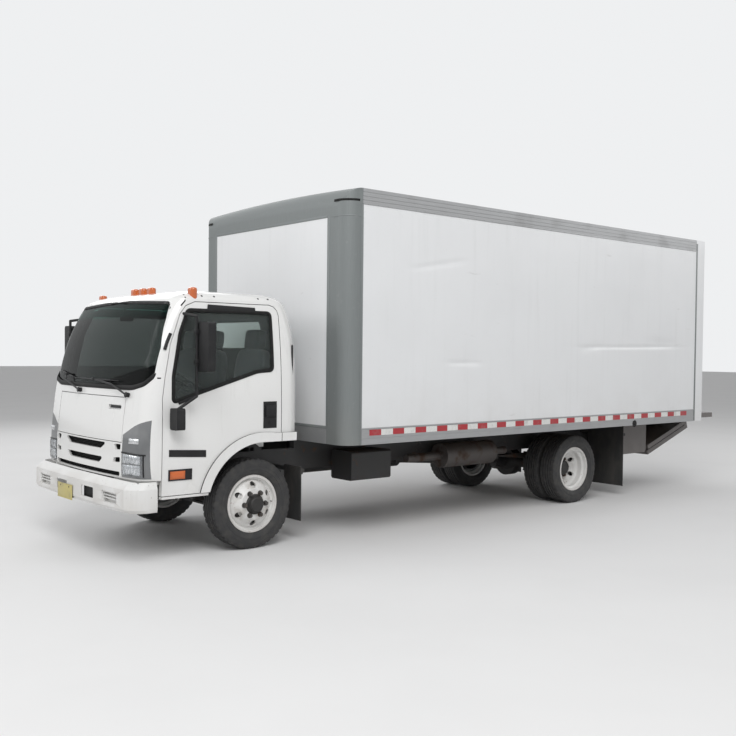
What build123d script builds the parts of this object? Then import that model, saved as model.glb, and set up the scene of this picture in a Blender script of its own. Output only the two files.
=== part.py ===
from build123d import *
import math
import os
from collections import namedtuple

# Box truck with a low cab forward of the front axle and a dry freight body.
# Millimetres. The truck faces -Y, +X is its left (driver's) side and +Z is up.
# Everything is modelled with Y = 0 at the front axle and Z = 0 on the ground,
# and save() moves it so that the origin is at the middle of the overall length.

# Overall
FRONT_OVERHANG = 1277.0
WHEELBASE = 4470.0
REAR_OVERHANG = 2700.0
OVERALL_LENGTH = FRONT_OVERHANG + WHEELBASE + REAR_OVERHANG
ORIGIN_SHIFT = FRONT_OVERHANG - OVERALL_LENGTH / 2

# Wheels and tyres, 225/70R19.5 on 19.5 x 6.00 disc wheels
TYRE_RADIUS = 405.5
TYRE_WIDTH = 225.0
TREAD_WIDTH = 190.0
BEAD_RADIUS = 247.5
FLANGE_RADIUS = 260.0
RIM_WIDTH = 178.0
RIM_WELL_RADIUS = 224.0
RIM_THICKNESS = 8.0
DISC_THICKNESS = 12.0
DISC_OFFSET = 125.0
HUB_RADIUS = 92.0
HUB_LENGTH = 48.0
STUD_COUNT = 6
STUD_CIRCLE_RADIUS = 111.0
NUT_RADIUS = 17.0
NUT_HEIGHT = 22.0
HAND_HOLE_COUNT = 6
HAND_HOLE_RADIUS = 27.0
HAND_HOLE_CIRCLE = 172.0
FRONT_TRACK = 1666.0
REAR_TRACK = 1650.0
TWIN_SPACING = 2 * DISC_OFFSET
SPINDLE_RADIUS = 32.0
RUNNING_GAP = 0.3

# Steering
KINGPIN_X = 740.0
KINGPIN_RADIUS = 22.0
KINGPIN_LENGTH = 190.0

# Ladder frame
FRAME_WIDTH = 851.0
RAIL_HEIGHT = 210.0
RAIL_FLANGE = 65.0
RAIL_SHEET = 7.0
RAIL_TOP_Z = 815.0
RAIL_FRONT_Y = -985.0
RAIL_TAIL = 957.0
CROSS_MEMBER_HEIGHT = 130.0
CROSS_MEMBER_DEPTH = 90.0

# Freight body
BOX_FRONT_Y = 761.0
BOX_LENGTH = 6096.0
BOX_HALF_WIDTH = 1295.5
BOX_WALL = 40.0
BOX_TOP_Z = 3295.0
BOX_CROWN = 32.0
BOX_RAIL_BOTTOM_Z = 908.0
BOX_RAIL_HEIGHT = 156.0
BOX_TOP_RAIL_HEIGHT = 145.0
BOX_CORNER_RADIUS = 150.0
BOX_NOSE_RADIUS = 180.0
POST_SIDE_WIDTH = 189.0
POST_FRONT_WIDTH = 290.0
REAR_POST_WIDTH = 130.0
REAR_POST_DEPTH = 195.0
REAR_HEADER_HEIGHT = 235.0
FLOOR_THICKNESS = 35.0
SILL_HEIGHT = 102.0
SILL_WIDTH = 60.0
SILL_COUNT = 18
LONG_SILL_WIDTH = 70.0
DOOR_PANEL_COUNT = 7
DOOR_PANEL_THICKNESS = 28.0

# Cab
CAB_BACK_Y = 452.0
CAB_WALL = 50.0
CAB_BOTTOM_Z = 567.0
CAB_FRONT_BOTTOM_Z = 700.0
CAB_GUTTER_Z = 2215.0
CAB_SHEET = 30.0
FIREWALL_Y = -990.0
FIREWALL_TOP_Z = 1400.0
LID_HALF_WIDTH = 685.0
LID_TOP_Z = 1374.0
LID_BOTTOM_Z = 1003.0
LID_THICKNESS = 26.0
GRILLE_DEPTH = 40.0
DOOR_FRONT_Y = -948.0
DOOR_REAR_Y = 228.0
DOOR_TOP_Z = 2187.0
FLAP_THICKNESS = 10.0
PLAN_RADIUS = 7000.0
CAB_CORNER_RADIUS = 150.0
CAB_REAR_RADIUS = 150.0
GLASS_THICKNESS = 6.0
GLASS_INSET = 10.0
PANEL_GAP = 6.0
TUNNEL_HALF_WIDTH = 480.0
TUNNEL_TOP_Z = 860.0
ARCH_CENTRE_Y = 30.0
ARCH_CENTRE_Z = 415.0
ARCH_RADIUS = 552.0
FLARE_WIDTH = 88.0
FLARE_DEPTH = 16.0
TILT_PIVOT_Y = -1040.0
TILT_PIVOT_Z = 780.0


# Cab plan sections, from the door bottoms up to the gutter and then over the roof
CabSection = namedtuple("CabSection", "height nose half_width corner_radius back")
CAB_SECTIONS = [
    CabSection(540.0, -1172.0, 1016.0, CAB_CORNER_RADIUS, CAB_BACK_Y),
    CabSection(1040.0, -1180.0, 1032.0, CAB_CORNER_RADIUS, CAB_BACK_Y),
    CabSection(1374.0, -1142.0, 1032.0, CAB_CORNER_RADIUS, CAB_BACK_Y),
    CabSection(1800.0, -1052.0, 1008.0, CAB_CORNER_RADIUS, CAB_BACK_Y - 4.0),
    CabSection(CAB_GUTTER_Z, -842.0, 948.0, CAB_CORNER_RADIUS, CAB_BACK_Y - 96.0),
]
ROOF_SECTIONS = [
    CAB_SECTIONS[-1],
    CabSection(2262.0, -745.0, 900.0, 148.0, CAB_BACK_Y - 160.0),
    CabSection(2292.0, -590.0, 770.0, 145.0, CAB_BACK_Y - 290.0),
    CabSection(2308.0, -380.0, 560.0, 145.0, CAB_BACK_Y - 480.0),
]


def block(x_range, y_range, z_range):
    """A box from its lowest and highest X, Y and Z."""
    size = [high - low for low, high in (x_range, y_range, z_range)]
    middle = [(high + low) / 2 for low, high in (x_range, y_range, z_range)]
    return Pos(*middle) * Box(*size)


def both_sides(shape):
    return shape + mirror(shape, Plane.YZ)


def side_prism(points, x_range, radius=0):
    """A (Y, Z) outline, run along X."""
    outline = make_face(Polyline(*points, close=True))
    if radius:
        outline = fillet(outline.vertices(), radius)
    return extrude(Plane.YZ.offset(x_range[0]) * outline, x_range[1] - x_range[0])


def front_prism(points, y_range, radius=0):
    """An (X, Z) outline, run along Y."""
    outline = make_face(Polyline(*points, close=True))
    if radius:
        outline = fillet(outline.vertices(), radius)
    return extrude(Plane.XZ.offset(-y_range[0]) * outline, y_range[0] - y_range[1])


def plan_prism(points, z_range, radius=0):
    """An (X, Y) outline, run along Z."""
    outline = make_face(Polyline(*points, close=True))
    if radius:
        outline = fillet(outline.vertices(), radius)
    return extrude(Plane.XY.offset(z_range[0]) * outline, z_range[1] - z_range[0])


def rod(start, end, radius):
    """A round bar between two points."""
    axis = Vector(*end) - Vector(*start)
    return extrude(Plane(origin=start, z_dir=axis) * Circle(radius), axis.length)


def turned(profile, x, y, z):
    """An (X, radius) outline turned about an axis along X."""
    outline = make_face(Polyline(*profile, close=True))
    return Pos(x, y, z) * revolve(Plane.XY * outline, Axis.X)


def section_face(section, inset):
    """A plan section of the cab: arched nose, tangent corners and rounded rear corners."""
    nose = section.nose + inset
    half = section.half_width - inset
    arch = PLAN_RADIUS - inset
    corner = section.corner_radius - inset
    rear = CAB_REAR_RADIUS - inset
    back = section.back - inset
    arch_centre = nose + arch
    corner_x = half - corner
    corner_y = arch_centre - math.sqrt((arch - corner) ** 2 - corner_x ** 2)
    turn = math.atan2(corner_x, arch_centre - corner_y)
    tangent = (arch * math.sin(turn), arch_centre - arch * math.cos(turn))
    middle_turn = (turn + math.pi / 2) / 2
    middle = (corner_x + corner * math.sin(middle_turn), corner_y - corner * math.cos(middle_turn))
    rear_x = half - rear * (1 - math.cos(math.pi / 4))
    rear_y = back - rear * (1 - math.cos(math.pi / 4))
    right = [
        ThreePointArc(tangent, middle, (half, corner_y)),
        Line((half, corner_y), (half, back - rear)),
        ThreePointArc((half, back - rear), (rear_x, rear_y), (half - rear, back)),
    ]
    front = ThreePointArc((-tangent[0], tangent[1]), (0, nose), tangent)
    rear_edge = Line((half - rear, back), (rear - half, back))
    left = [mirror(edge, Plane.YZ) for edge in right]
    return Pos(0, 0, section.height) * make_face([front, *right, rear_edge, *left])


def cab_sides(inset):
    """The cab's form below the gutter, drawn in by an inset."""
    return loft([section_face(section, inset) for section in CAB_SECTIONS])


def cab_form(inset):
    """The cab's whole form with its roof, drawn in by an inset."""
    roof = loft([Pos(0, 0, -inset) * section_face(section, inset) for section in ROOF_SECTIONS])
    return cab_sides(inset) + roof


def save(name, shape):
    """Writes one piece, moved from the front axle to the middle of the overall length."""
    moved = Pos(0, ORIGIN_SHIFT, 0) * shape
    moved.label = name
    export_step(moved, f"parts/{name}.step")


os.makedirs("parts", exist_ok=True)
REAR_AXLE_Y = WHEELBASE
AXLE_Z = TYRE_RADIUS
BOX_REAR_Y = BOX_FRONT_Y + BOX_LENGTH
RAIL_REAR_Y = BOX_REAR_Y - RAIL_TAIL
RAIL_OUTER_X = FRAME_WIDTH / 2
RAIL_BOTTOM_Z = RAIL_TOP_Z - RAIL_HEIGHT
SILL_BOTTOM_Z = BOX_RAIL_BOTTOM_Z
FLOOR_BOTTOM_Z = SILL_BOTTOM_Z + SILL_HEIGHT
FLOOR_TOP_Z = FLOOR_BOTTOM_Z + FLOOR_THICKNESS
BOX_RAIL_TOP_Z = BOX_RAIL_BOTTOM_Z + BOX_RAIL_HEIGHT
BOX_TOP_RAIL_BOTTOM_Z = BOX_TOP_Z - BOX_TOP_RAIL_HEIGHT
BOX_INNER_X = BOX_HALF_WIDTH - BOX_WALL


# Tyres: tread, shoulders, bulging walls and beads
def tyre(x):
    half = TYRE_WIDTH / 2
    tread = TREAD_WIDTH / 2
    bulge_radius = (TYRE_RADIUS + BEAD_RADIUS) / 2
    bead = RIM_WIDTH / 2 - RIM_THICKNESS
    shoulder = TYRE_RADIUS - 26.0
    inner = TYRE_RADIUS - 18.0
    right = [
        Line((0, TYRE_RADIUS), (tread, TYRE_RADIUS - 4.0)),
        Line((tread, TYRE_RADIUS - 4.0), (half - 6.0, shoulder)),
        ThreePointArc((half - 6.0, shoulder), (half, bulge_radius + 20.0), (bead, FLANGE_RADIUS + 2.0)),
        Line((bead, FLANGE_RADIUS + 2.0), (bead, BEAD_RADIUS)),
        Line((bead, BEAD_RADIUS), (bead - 24.0, BEAD_RADIUS)),
        Line((bead - 24.0, BEAD_RADIUS), (tread - 12.0, inner - 14.0)),
        Line((tread - 12.0, inner - 14.0), (0, inner)),
    ]
    left = [mirror(edge, Plane.YZ) for edge in right]
    return Pos(x, 0, AXLE_Z) * revolve(make_face([*right, *left]), Axis.X)


# Disc wheels: a rolled rim and a dished disc that ends in the flat mounting ring
def disc_wheel(x, outward):
    half = RIM_WIDTH / 2
    well = RIM_WELL_RADIUS
    sheet = RIM_THICKNESS
    face = DISC_OFFSET
    back = face - DISC_THICKNESS
    profile = [
        (-half, FLANGE_RADIUS),
        (-half + sheet, FLANGE_RADIUS),
        (-half + sheet, BEAD_RADIUS),
        (-half + 42.0, BEAD_RADIUS - 4.0),
        (-half + 58.0, well),
        (half - 62.0, well),
        (half - 42.0, BEAD_RADIUS - 4.0),
        (half - sheet, BEAD_RADIUS),
        (half - sheet, FLANGE_RADIUS),
        (half, FLANGE_RADIUS),
        (half, BEAD_RADIUS - sheet),
        (half - 40.0, BEAD_RADIUS - 4.0 - sheet),
        (half - 50.0, well - sheet),
        (half - 34.0, well - sheet - 6.0),
        (half - 4.0, HAND_HOLE_CIRCLE + 14.0),
        (face - 8.0, STUD_CIRCLE_RADIUS + 34.0),
        (face, STUD_CIRCLE_RADIUS + 24.0),
        (face, HUB_RADIUS),
        (back, HUB_RADIUS),
        (back, STUD_CIRCLE_RADIUS + 22.0),
        (back - 8.0, STUD_CIRCLE_RADIUS + 30.0),
        (half - 16.0, HAND_HOLE_CIRCLE + 6.0),
        (half - 48.0, well - sheet - 18.0),
        (half - 66.0, well - sheet),
        (-half + 52.0, well - sheet),
        (-half + 36.0, BEAD_RADIUS - 4.0 - sheet),
        (-half, BEAD_RADIUS - sheet),
    ]
    wheel = turned(profile, 0, 0, 0)
    holes = [
        Pos(half, HAND_HOLE_CIRCLE * math.cos(turn), HAND_HOLE_CIRCLE * math.sin(turn))
        * Rot(0, 90, 0)
        * Cylinder(HAND_HOLE_RADIUS, RIM_WIDTH / 2)
        for turn in (math.tau * (count + 0.5) / HAND_HOLE_COUNT for count in range(HAND_HOLE_COUNT))
    ]
    wheel -= holes
    if not outward:
        wheel = mirror(wheel, Plane.YZ)
    return Pos(x, 0, AXLE_Z) * wheel


def wheel_nuts(x, y):
    """Nuts on the outer face of a disc, at the given X."""
    turns = [math.tau * count / STUD_COUNT for count in range(STUD_COUNT)]
    return [
        Pos(
            x + NUT_HEIGHT / 2,
            y + STUD_CIRCLE_RADIUS * math.cos(turn),
            AXLE_Z + STUD_CIRCLE_RADIUS * math.sin(turn),
        )
        * Rot(0, 90, 0)
        * extrude(RegularPolygon(NUT_RADIUS, 6), NUT_HEIGHT / 2, both=True)
        for turn in turns
    ]


FRONT_WHEEL_X = FRONT_TRACK / 2
FRONT_FACE_X = FRONT_WHEEL_X + DISC_OFFSET
TWIN_INNER_X = REAR_TRACK / 2 - TWIN_SPACING / 2
TWIN_OUTER_X = REAR_TRACK / 2 + TWIN_SPACING / 2
TWIN_FACE_X = REAR_TRACK / 2
DRUM_RADIUS = 182.0
DRUM_WALL = 14.0

# Front hub and drum, which run on the knuckle's spindle
front_hub = turned(
    [
        (FRONT_WHEEL_X - 45.0, DRUM_RADIUS),
        (FRONT_WHEEL_X + 55.0, DRUM_RADIUS),
        (FRONT_WHEEL_X + 75.0, DRUM_RADIUS - 30.0),
        (FRONT_FACE_X - DISC_THICKNESS, DRUM_RADIUS - 40.0),
        (FRONT_FACE_X - DISC_THICKNESS, HUB_RADIUS),
        (FRONT_FACE_X + 4.0, HUB_RADIUS),
        (FRONT_FACE_X + 12.0, HUB_RADIUS - 14.0),
        (FRONT_FACE_X + HUB_LENGTH - 8.0, HUB_RADIUS - 24.0),
        (FRONT_FACE_X + HUB_LENGTH, HUB_RADIUS - 34.0),
        (FRONT_FACE_X + HUB_LENGTH, 0),
        (FRONT_FACE_X + HUB_LENGTH - 20.0, 0),
        (FRONT_FACE_X + HUB_LENGTH - 20.0, SPINDLE_RADIUS + RUNNING_GAP),
        (FRONT_WHEEL_X + 30.0, SPINDLE_RADIUS + RUNNING_GAP),
        (FRONT_WHEEL_X + 30.0, DRUM_RADIUS - DRUM_WALL),
        (FRONT_WHEEL_X - 45.0, DRUM_RADIUS - DRUM_WALL),
    ],
    0,
    0,
    AXLE_Z,
)
front_wheel = disc_wheel(FRONT_WHEEL_X, True) + front_hub + wheel_nuts(FRONT_FACE_X, 0)
save("wheel_front_left", front_wheel)
save("wheel_front_right", mirror(front_wheel, Plane.YZ))
save("tyre_front_left", tyre(FRONT_WHEEL_X))
save("tyre_front_right", tyre(-FRONT_WHEEL_X))

# Rear twin wheels back to back on one hub and drum
rear_hub = turned(
    [
        (TWIN_INNER_X - 40.0, DRUM_RADIUS),
        (TWIN_FACE_X - 60.0, DRUM_RADIUS),
        (TWIN_FACE_X - 30.0, DRUM_RADIUS - 40.0),
        (TWIN_FACE_X - DISC_THICKNESS, DRUM_RADIUS - 46.0),
        (TWIN_FACE_X - DISC_THICKNESS, HUB_RADIUS),
        (TWIN_FACE_X + DISC_THICKNESS + 40.0, HUB_RADIUS),
        (TWIN_FACE_X + DISC_THICKNESS + 52.0, HUB_RADIUS - 12.0),
        (TWIN_FACE_X + DISC_THICKNESS + 64.0, HUB_RADIUS - 12.0),
        (TWIN_FACE_X + DISC_THICKNESS + 70.0, HUB_RADIUS - 40.0),
        (TWIN_FACE_X + DISC_THICKNESS + 70.0, 0),
        (TWIN_FACE_X + 20.0, 0),
        (TWIN_FACE_X + 20.0, SPINDLE_RADIUS + RUNNING_GAP),
        (TWIN_FACE_X - 70.0, SPINDLE_RADIUS + RUNNING_GAP),
        (TWIN_FACE_X - 70.0, DRUM_RADIUS - DRUM_WALL),
        (TWIN_INNER_X - 40.0, DRUM_RADIUS - DRUM_WALL),
    ],
    0,
    0,
    AXLE_Z,
)
rear_wheels = disc_wheel(TWIN_INNER_X, True) + disc_wheel(TWIN_OUTER_X, False) + rear_hub
rear_wheels += wheel_nuts(TWIN_FACE_X + DISC_THICKNESS, 0)
rear_wheels = Pos(0, REAR_AXLE_Y, 0) * rear_wheels
rear_tyres = Pos(0, REAR_AXLE_Y, 0) * Compound([tyre(TWIN_INNER_X), tyre(TWIN_OUTER_X)])
save("wheels_rear_left", rear_wheels)
save("wheels_rear_right", mirror(rear_wheels, Plane.YZ))
save("tyres_rear_left", rear_tyres)
save("tyres_rear_right", mirror(rear_tyres, Plane.YZ))

# Steering knuckles: a yoke round the axle end, a spindle and a steering arm
KNUCKLE_X = KINGPIN_X + 52.0
KNUCKLE_DEPTH = 22.0
YOKE_RADIUS = 44.0
YOKE_THICKNESS = 34.0
AXLE_END_HEIGHT = 120.0
yoke_top = AXLE_Z + AXLE_END_HEIGHT / 2 + 2.0
yoke_bottom = AXLE_Z - AXLE_END_HEIGHT / 2 - 2.0
knuckle = block(
    (KNUCKLE_X, KNUCKLE_X + KNUCKLE_DEPTH),
    (-70.0, 70.0),
    (yoke_bottom - YOKE_THICKNESS, yoke_top + YOKE_THICKNESS),
)
for low in (yoke_top, yoke_bottom - YOKE_THICKNESS):
    knuckle += Pos(KINGPIN_X, 0, low + YOKE_THICKNESS / 2) * Cylinder(YOKE_RADIUS, YOKE_THICKNESS)
    knuckle += block((KINGPIN_X, KNUCKLE_X), (-YOKE_RADIUS, YOKE_RADIUS), (low, low + YOKE_THICKNESS))
knuckle -= Pos(KINGPIN_X, 0, AXLE_Z) * Cylinder(KINGPIN_RADIUS + RUNNING_GAP, 2 * KINGPIN_LENGTH)
knuckle += rod(
    (KNUCKLE_X + KNUCKLE_DEPTH / 2, 0, AXLE_Z),
    (FRONT_FACE_X + HUB_LENGTH - 24.0, 0, AXLE_Z),
    SPINDLE_RADIUS,
)
steering_arm = plan_prism(
    [(KNUCKLE_X, 30.0), (KNUCKLE_X, 60.0), (KINGPIN_X - 40.0, 190.0), (KINGPIN_X - 70.0, 175.0)],
    (yoke_bottom - YOKE_THICKNESS, yoke_bottom - YOKE_THICKNESS + 24.0),
)
knuckle += steering_arm
save("knuckle_left", knuckle)
save("knuckle_right", mirror(knuckle, Plane.YZ))

# Front axle: an I beam that dips between the spring seats, with kingpins in its ends
AXLE_DROP = 70.0
BEAM_HEIGHT = 84.0
BEAM_WIDTH = 76.0
SPRING_X = 350.0
beam_low = AXLE_Z - AXLE_DROP - BEAM_HEIGHT / 2
beam_end = KINGPIN_X - 36.0
beam = front_prism(
    [
        (-beam_end, AXLE_Z - 45.0),
        (-SPRING_X - 130.0, beam_low),
        (SPRING_X + 130.0, beam_low),
        (beam_end, AXLE_Z - 45.0),
        (beam_end, AXLE_Z + 45.0),
        (SPRING_X + 110.0, beam_low + BEAM_HEIGHT),
        (-SPRING_X - 110.0, beam_low + BEAM_HEIGHT),
        (-beam_end, AXLE_Z + 45.0),
    ],
    (-BEAM_WIDTH / 2, BEAM_WIDTH / 2),
)
web_cut = front_prism(
    [
        (-SPRING_X + 80.0, beam_low + 18.0),
        (SPRING_X - 80.0, beam_low + 18.0),
        (SPRING_X - 80.0, beam_low + BEAM_HEIGHT - 18.0),
        (-SPRING_X + 80.0, beam_low + BEAM_HEIGHT - 18.0),
    ],
    (10.0, BEAM_WIDTH),
)
beam -= web_cut
beam -= mirror(web_cut, Plane.XZ)
axle_end = Pos(KINGPIN_X, 0, AXLE_Z) * Cylinder(40.0, AXLE_END_HEIGHT)
axle_end += Pos(KINGPIN_X, 0, AXLE_Z) * Cylinder(KINGPIN_RADIUS, KINGPIN_LENGTH)
front_axle = beam + both_sides(axle_end)
save("front_axle", front_axle)

# Leaf springs: arched packs clamped on both axles, with shackled ends
LEAF_WIDTH = 70.0
LEAF_THICKNESS = 11.0
EYE_RADIUS = 24.0
EYE_REACH = 14.0
HANGER_OUTSET = 12.0
HANGER_PIN_RADIUS = 10.0
Spring = namedtuple("Spring", "y seat_z half_length eye_z leaves")
SPRINGS = [
    Spring(0.0, beam_low + BEAM_HEIGHT, 620.0, RAIL_BOTTOM_Z - 75.0, 4),
    Spring(REAR_AXLE_Y, AXLE_Z + 82.0, 650.0, RAIL_BOTTOM_Z - 62.0, 5),
]


def leaf_pack(spring):
    """Leaves that shorten downwards, each an arc that sags to the axle."""
    pack = []
    rise = spring.eye_z - spring.seat_z - spring.leaves * LEAF_THICKNESS
    radius = (spring.half_length ** 2 + rise ** 2) / (2 * rise)
    for leaf in range(spring.leaves):
        depth = (spring.leaves - leaf) * LEAF_THICKNESS
        reach = spring.half_length * (1 - 0.17 * leaf)
        low = spring.seat_z + depth - LEAF_THICKNESS
        top = low + LEAF_THICKNESS
        lift = radius - math.sqrt(radius ** 2 - reach ** 2)
        outline = [
            ThreePointArc((-reach, top + lift), (0, top), (reach, top + lift)),
            Line((reach, top + lift), (reach, low + lift)),
            ThreePointArc((reach, low + lift), (0, low), (-reach, low + lift)),
            Line((-reach, low + lift), (-reach, top + lift)),
        ]
        face = Plane.YZ.offset(SPRING_X - LEAF_WIDTH / 2) * make_face(outline)
        pack.append(extrude(face, LEAF_WIDTH))
    return Pos(0, spring.y, 0) * pack[0].fuse(*pack[1:])


def spring_eyes(spring):
    """Rolled eyes at both ends of the main leaf."""
    ends = []
    for way in (-1, 1):
        y = spring.y + way * (spring.half_length + EYE_REACH)
        z = spring.eye_z - LEAF_THICKNESS / 2
        ends.append(rod((SPRING_X - LEAF_WIDTH / 2, y, z), (SPRING_X + LEAF_WIDTH / 2, y, z), EYE_RADIUS))
    return ends


def spring_pins(spring, radius):
    """The hanger pins that pass through both eyes."""
    pins = []
    for way in (-1, 1):
        y = spring.y + way * (spring.half_length + EYE_REACH)
        z = spring.eye_z - LEAF_THICKNESS / 2
        low_x = SPRING_X - LEAF_WIDTH / 2 - HANGER_OUTSET
        high_x = SPRING_X + LEAF_WIDTH / 2 + HANGER_OUTSET
        pins.append(rod((low_x, y, z), (high_x, y, z), radius))
    return pins


springs = []
for spring in SPRINGS:
    one = leaf_pack(spring).fuse(*spring_eyes(spring))
    one = one.cut(*spring_pins(spring, HANGER_PIN_RADIUS + RUNNING_GAP))
    springs += [one, mirror(one, Plane.YZ)]
save("leaf_springs", Compound([solid for one in springs for solid in one.solids()]))

# Rear axle: tapering tubes to the hubs and a round differential housing
TUBE_RADIUS = 62.0
DIFFERENTIAL_RADIUS = 175.0
DIFFERENTIAL_DEPTH = 130.0
PINION_OFFSET = 20.0
half_axle = turned(
    [
        (0, 0),
        (0, 120.0),
        (110.0, 104.0),
        (210.0, TUBE_RADIUS),
        (TWIN_INNER_X - 90.0, TUBE_RADIUS),
        (TWIN_INNER_X - 60.0, 96.0),
        (TWIN_INNER_X - 44.0, 96.0),
        (TWIN_INNER_X - 44.0, SPINDLE_RADIUS),
        (TWIN_FACE_X + 16.0, SPINDLE_RADIUS),
        (TWIN_FACE_X + 16.0, 0),
    ],
    0,
    REAR_AXLE_Y,
    AXLE_Z,
)
spring_seat = block(
    (SPRING_X - 46.0, SPRING_X + 46.0),
    (REAR_AXLE_Y - 70.0, REAR_AXLE_Y + 70.0),
    (AXLE_Z, SPRINGS[1].seat_z),
)
differential = Pos(0, REAR_AXLE_Y, AXLE_Z) * Rot(90, 0, 0) * Cylinder(DIFFERENTIAL_RADIUS, DIFFERENTIAL_DEPTH)
rear_cover = Cone(DIFFERENTIAL_RADIUS, 90.0, 60.0, align=(Align.CENTER, Align.CENTER, Align.MIN))
differential += Pos(0, REAR_AXLE_Y + DIFFERENTIAL_DEPTH / 2, AXLE_Z) * Rot(-90, 0, 0) * rear_cover
differential += Pos(0, REAR_AXLE_Y - 165.0, AXLE_Z + PINION_OFFSET) * Rot(90, 0, 0) * Cylinder(78.0, 210.0)
rear_axle = both_sides(half_axle + spring_seat) + differential
save("rear_axle", rear_axle)

# Engine and gearbox, one plain mass between the rails
ENGINE_FRONT_Y = -610.0
ENGINE_REAR_Y = 420.0
ENGINE_HALF_WIDTH = 290.0
ENGINE_BOTTOM_Z = 455.0
GEARBOX_REAR_Y = 1150.0
engine = block(
    (-ENGINE_HALF_WIDTH, ENGINE_HALF_WIDTH),
    (ENGINE_FRONT_Y, ENGINE_REAR_Y),
    (ENGINE_BOTTOM_Z, TUNNEL_TOP_Z - 25.0),
)
engine = chamfer(engine.edges().filter_by(Axis.Y), 60.0)
engine += loft(
    [
        Plane.XZ.offset(-ENGINE_REAR_Y) * Pos(0, 600.0) * Rectangle(420.0, 290.0),
        Plane.XZ.offset(-GEARBOX_REAR_Y) * Pos(0, 590.0) * Rectangle(200.0, 190.0),
    ],
    ruled=True,
)
save("engine", engine)

# Propeller shaft in two runs with a centre bearing
SHAFT_RADIUS = 45.0
BEARING_Y = 2500.0
BEARING_Z = 560.0
shaft_rear_y = REAR_AXLE_Y - 270.0
FLANGE_THICKNESS = 20.0
GEARBOX_Z = 590.0
PINION_Z = AXLE_Z + PINION_OFFSET
YOKE_LENGTH = 70.0
shaft_ends = [
    (GEARBOX_REAR_Y + FLANGE_THICKNESS / 2, GEARBOX_Z),
    (shaft_rear_y - FLANGE_THICKNESS / 2, PINION_Z),
]
shaft = Pos(0, BEARING_Y, BEARING_Z) * Rot(90, 0, 0) * Cylinder(85.0, 60.0)
for end_y, end_z in shaft_ends:
    shaft += rod((0, end_y, end_z), (0, BEARING_Y, BEARING_Z), SHAFT_RADIUS - 20.0)
    shaft += Pos(0, end_y, end_z) * Rot(90, 0, 0) * Cylinder(72.0, FLANGE_THICKNESS)
    way = math.copysign(1.0, BEARING_Y - end_y)
    tube_z = end_z + (BEARING_Z - end_z) * YOKE_LENGTH / abs(BEARING_Y - end_y)
    tube_start = (0, end_y + way * YOKE_LENGTH, tube_z)
    shaft += rod(tube_start, (0, BEARING_Y, BEARING_Z), SHAFT_RADIUS)
save("propeller_shaft", shaft)

# Ladder frame: channel rails, cross members, cab pivots and liftgate hangers
rail = block(
    (RAIL_OUTER_X - RAIL_FLANGE, RAIL_OUTER_X),
    (RAIL_FRONT_Y, RAIL_REAR_Y),
    (RAIL_BOTTOM_Z, RAIL_TOP_Z),
)
rail -= block(
    (RAIL_OUTER_X - RAIL_FLANGE, RAIL_OUTER_X - RAIL_SHEET),
    (RAIL_FRONT_Y, RAIL_REAR_Y),
    (RAIL_BOTTOM_Z + RAIL_SHEET, RAIL_TOP_Z - RAIL_SHEET),
)
frame = both_sides(rail)
CROSS_MEMBER_HIGH_Z = RAIL_TOP_Z - 75.0
CROSS_MEMBER_LOW_Z = RAIL_BOTTOM_Z + CROSS_MEMBER_HEIGHT / 2
cross_member_places = [
    (RAIL_FRONT_Y + 60.0, RAIL_TOP_Z - 130.0),
    (-720.0, CROSS_MEMBER_LOW_Z),
    (1350.0, CROSS_MEMBER_HIGH_Z),
    (BEARING_Y, CROSS_MEMBER_HIGH_Z),
    (3350.0, CROSS_MEMBER_HIGH_Z),
    (REAR_AXLE_Y - 560.0, CROSS_MEMBER_HIGH_Z),
    (REAR_AXLE_Y + 620.0, CROSS_MEMBER_HIGH_Z),
    (RAIL_REAR_Y - 50.0, CROSS_MEMBER_HIGH_Z),
]
for y, z in cross_member_places:
    member = block(
        (-RAIL_OUTER_X + RAIL_SHEET, RAIL_OUTER_X - RAIL_SHEET),
        (y - CROSS_MEMBER_DEPTH / 2, y + CROSS_MEMBER_DEPTH / 2),
        (z - CROSS_MEMBER_HEIGHT / 2, z + CROSS_MEMBER_HEIGHT / 2),
    )
    member -= block(
        (-RAIL_OUTER_X + RAIL_FLANGE, RAIL_OUTER_X - RAIL_FLANGE),
        (y - CROSS_MEMBER_DEPTH / 2 + RAIL_SHEET, y + CROSS_MEMBER_DEPTH / 2),
        (z - CROSS_MEMBER_HEIGHT / 2 + RAIL_SHEET, z + CROSS_MEMBER_HEIGHT / 2 - RAIL_SHEET),
    )
    frame += member

# Cab pivots: plates off the rail fronts with a cross tube, and a rear rest on the rails
PIVOT_RADIUS = 26.0
PIVOT_PLATE = 14.0
PIVOT_EYE_RADIUS = 52.0
PIVOT_TUBE_END = TUNNEL_HALF_WIDTH + 34.0
pivot_plate = side_prism(
    [
        (RAIL_FRONT_Y + 130.0, RAIL_TOP_Z),
        (TILT_PIVOT_Y, TILT_PIVOT_Z + PIVOT_EYE_RADIUS - 6.0),
        (TILT_PIVOT_Y, TILT_PIVOT_Z - PIVOT_EYE_RADIUS),
        (RAIL_FRONT_Y + 130.0, RAIL_BOTTOM_Z),
        (RAIL_FRONT_Y + 200.0, RAIL_BOTTOM_Z),
        (RAIL_FRONT_Y + 200.0, RAIL_TOP_Z),
    ],
    (RAIL_OUTER_X, RAIL_OUTER_X + PIVOT_PLATE),
)
pivot_plate += rod(
    (RAIL_OUTER_X, TILT_PIVOT_Y, TILT_PIVOT_Z),
    (RAIL_OUTER_X + PIVOT_PLATE, TILT_PIVOT_Y, TILT_PIVOT_Z),
    PIVOT_EYE_RADIUS,
)
frame += both_sides(pivot_plate)
frame += rod(
    (-PIVOT_TUBE_END, TILT_PIVOT_Y, TILT_PIVOT_Z),
    (PIVOT_TUBE_END, TILT_PIVOT_Y, TILT_PIVOT_Z),
    PIVOT_RADIUS,
)
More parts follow.
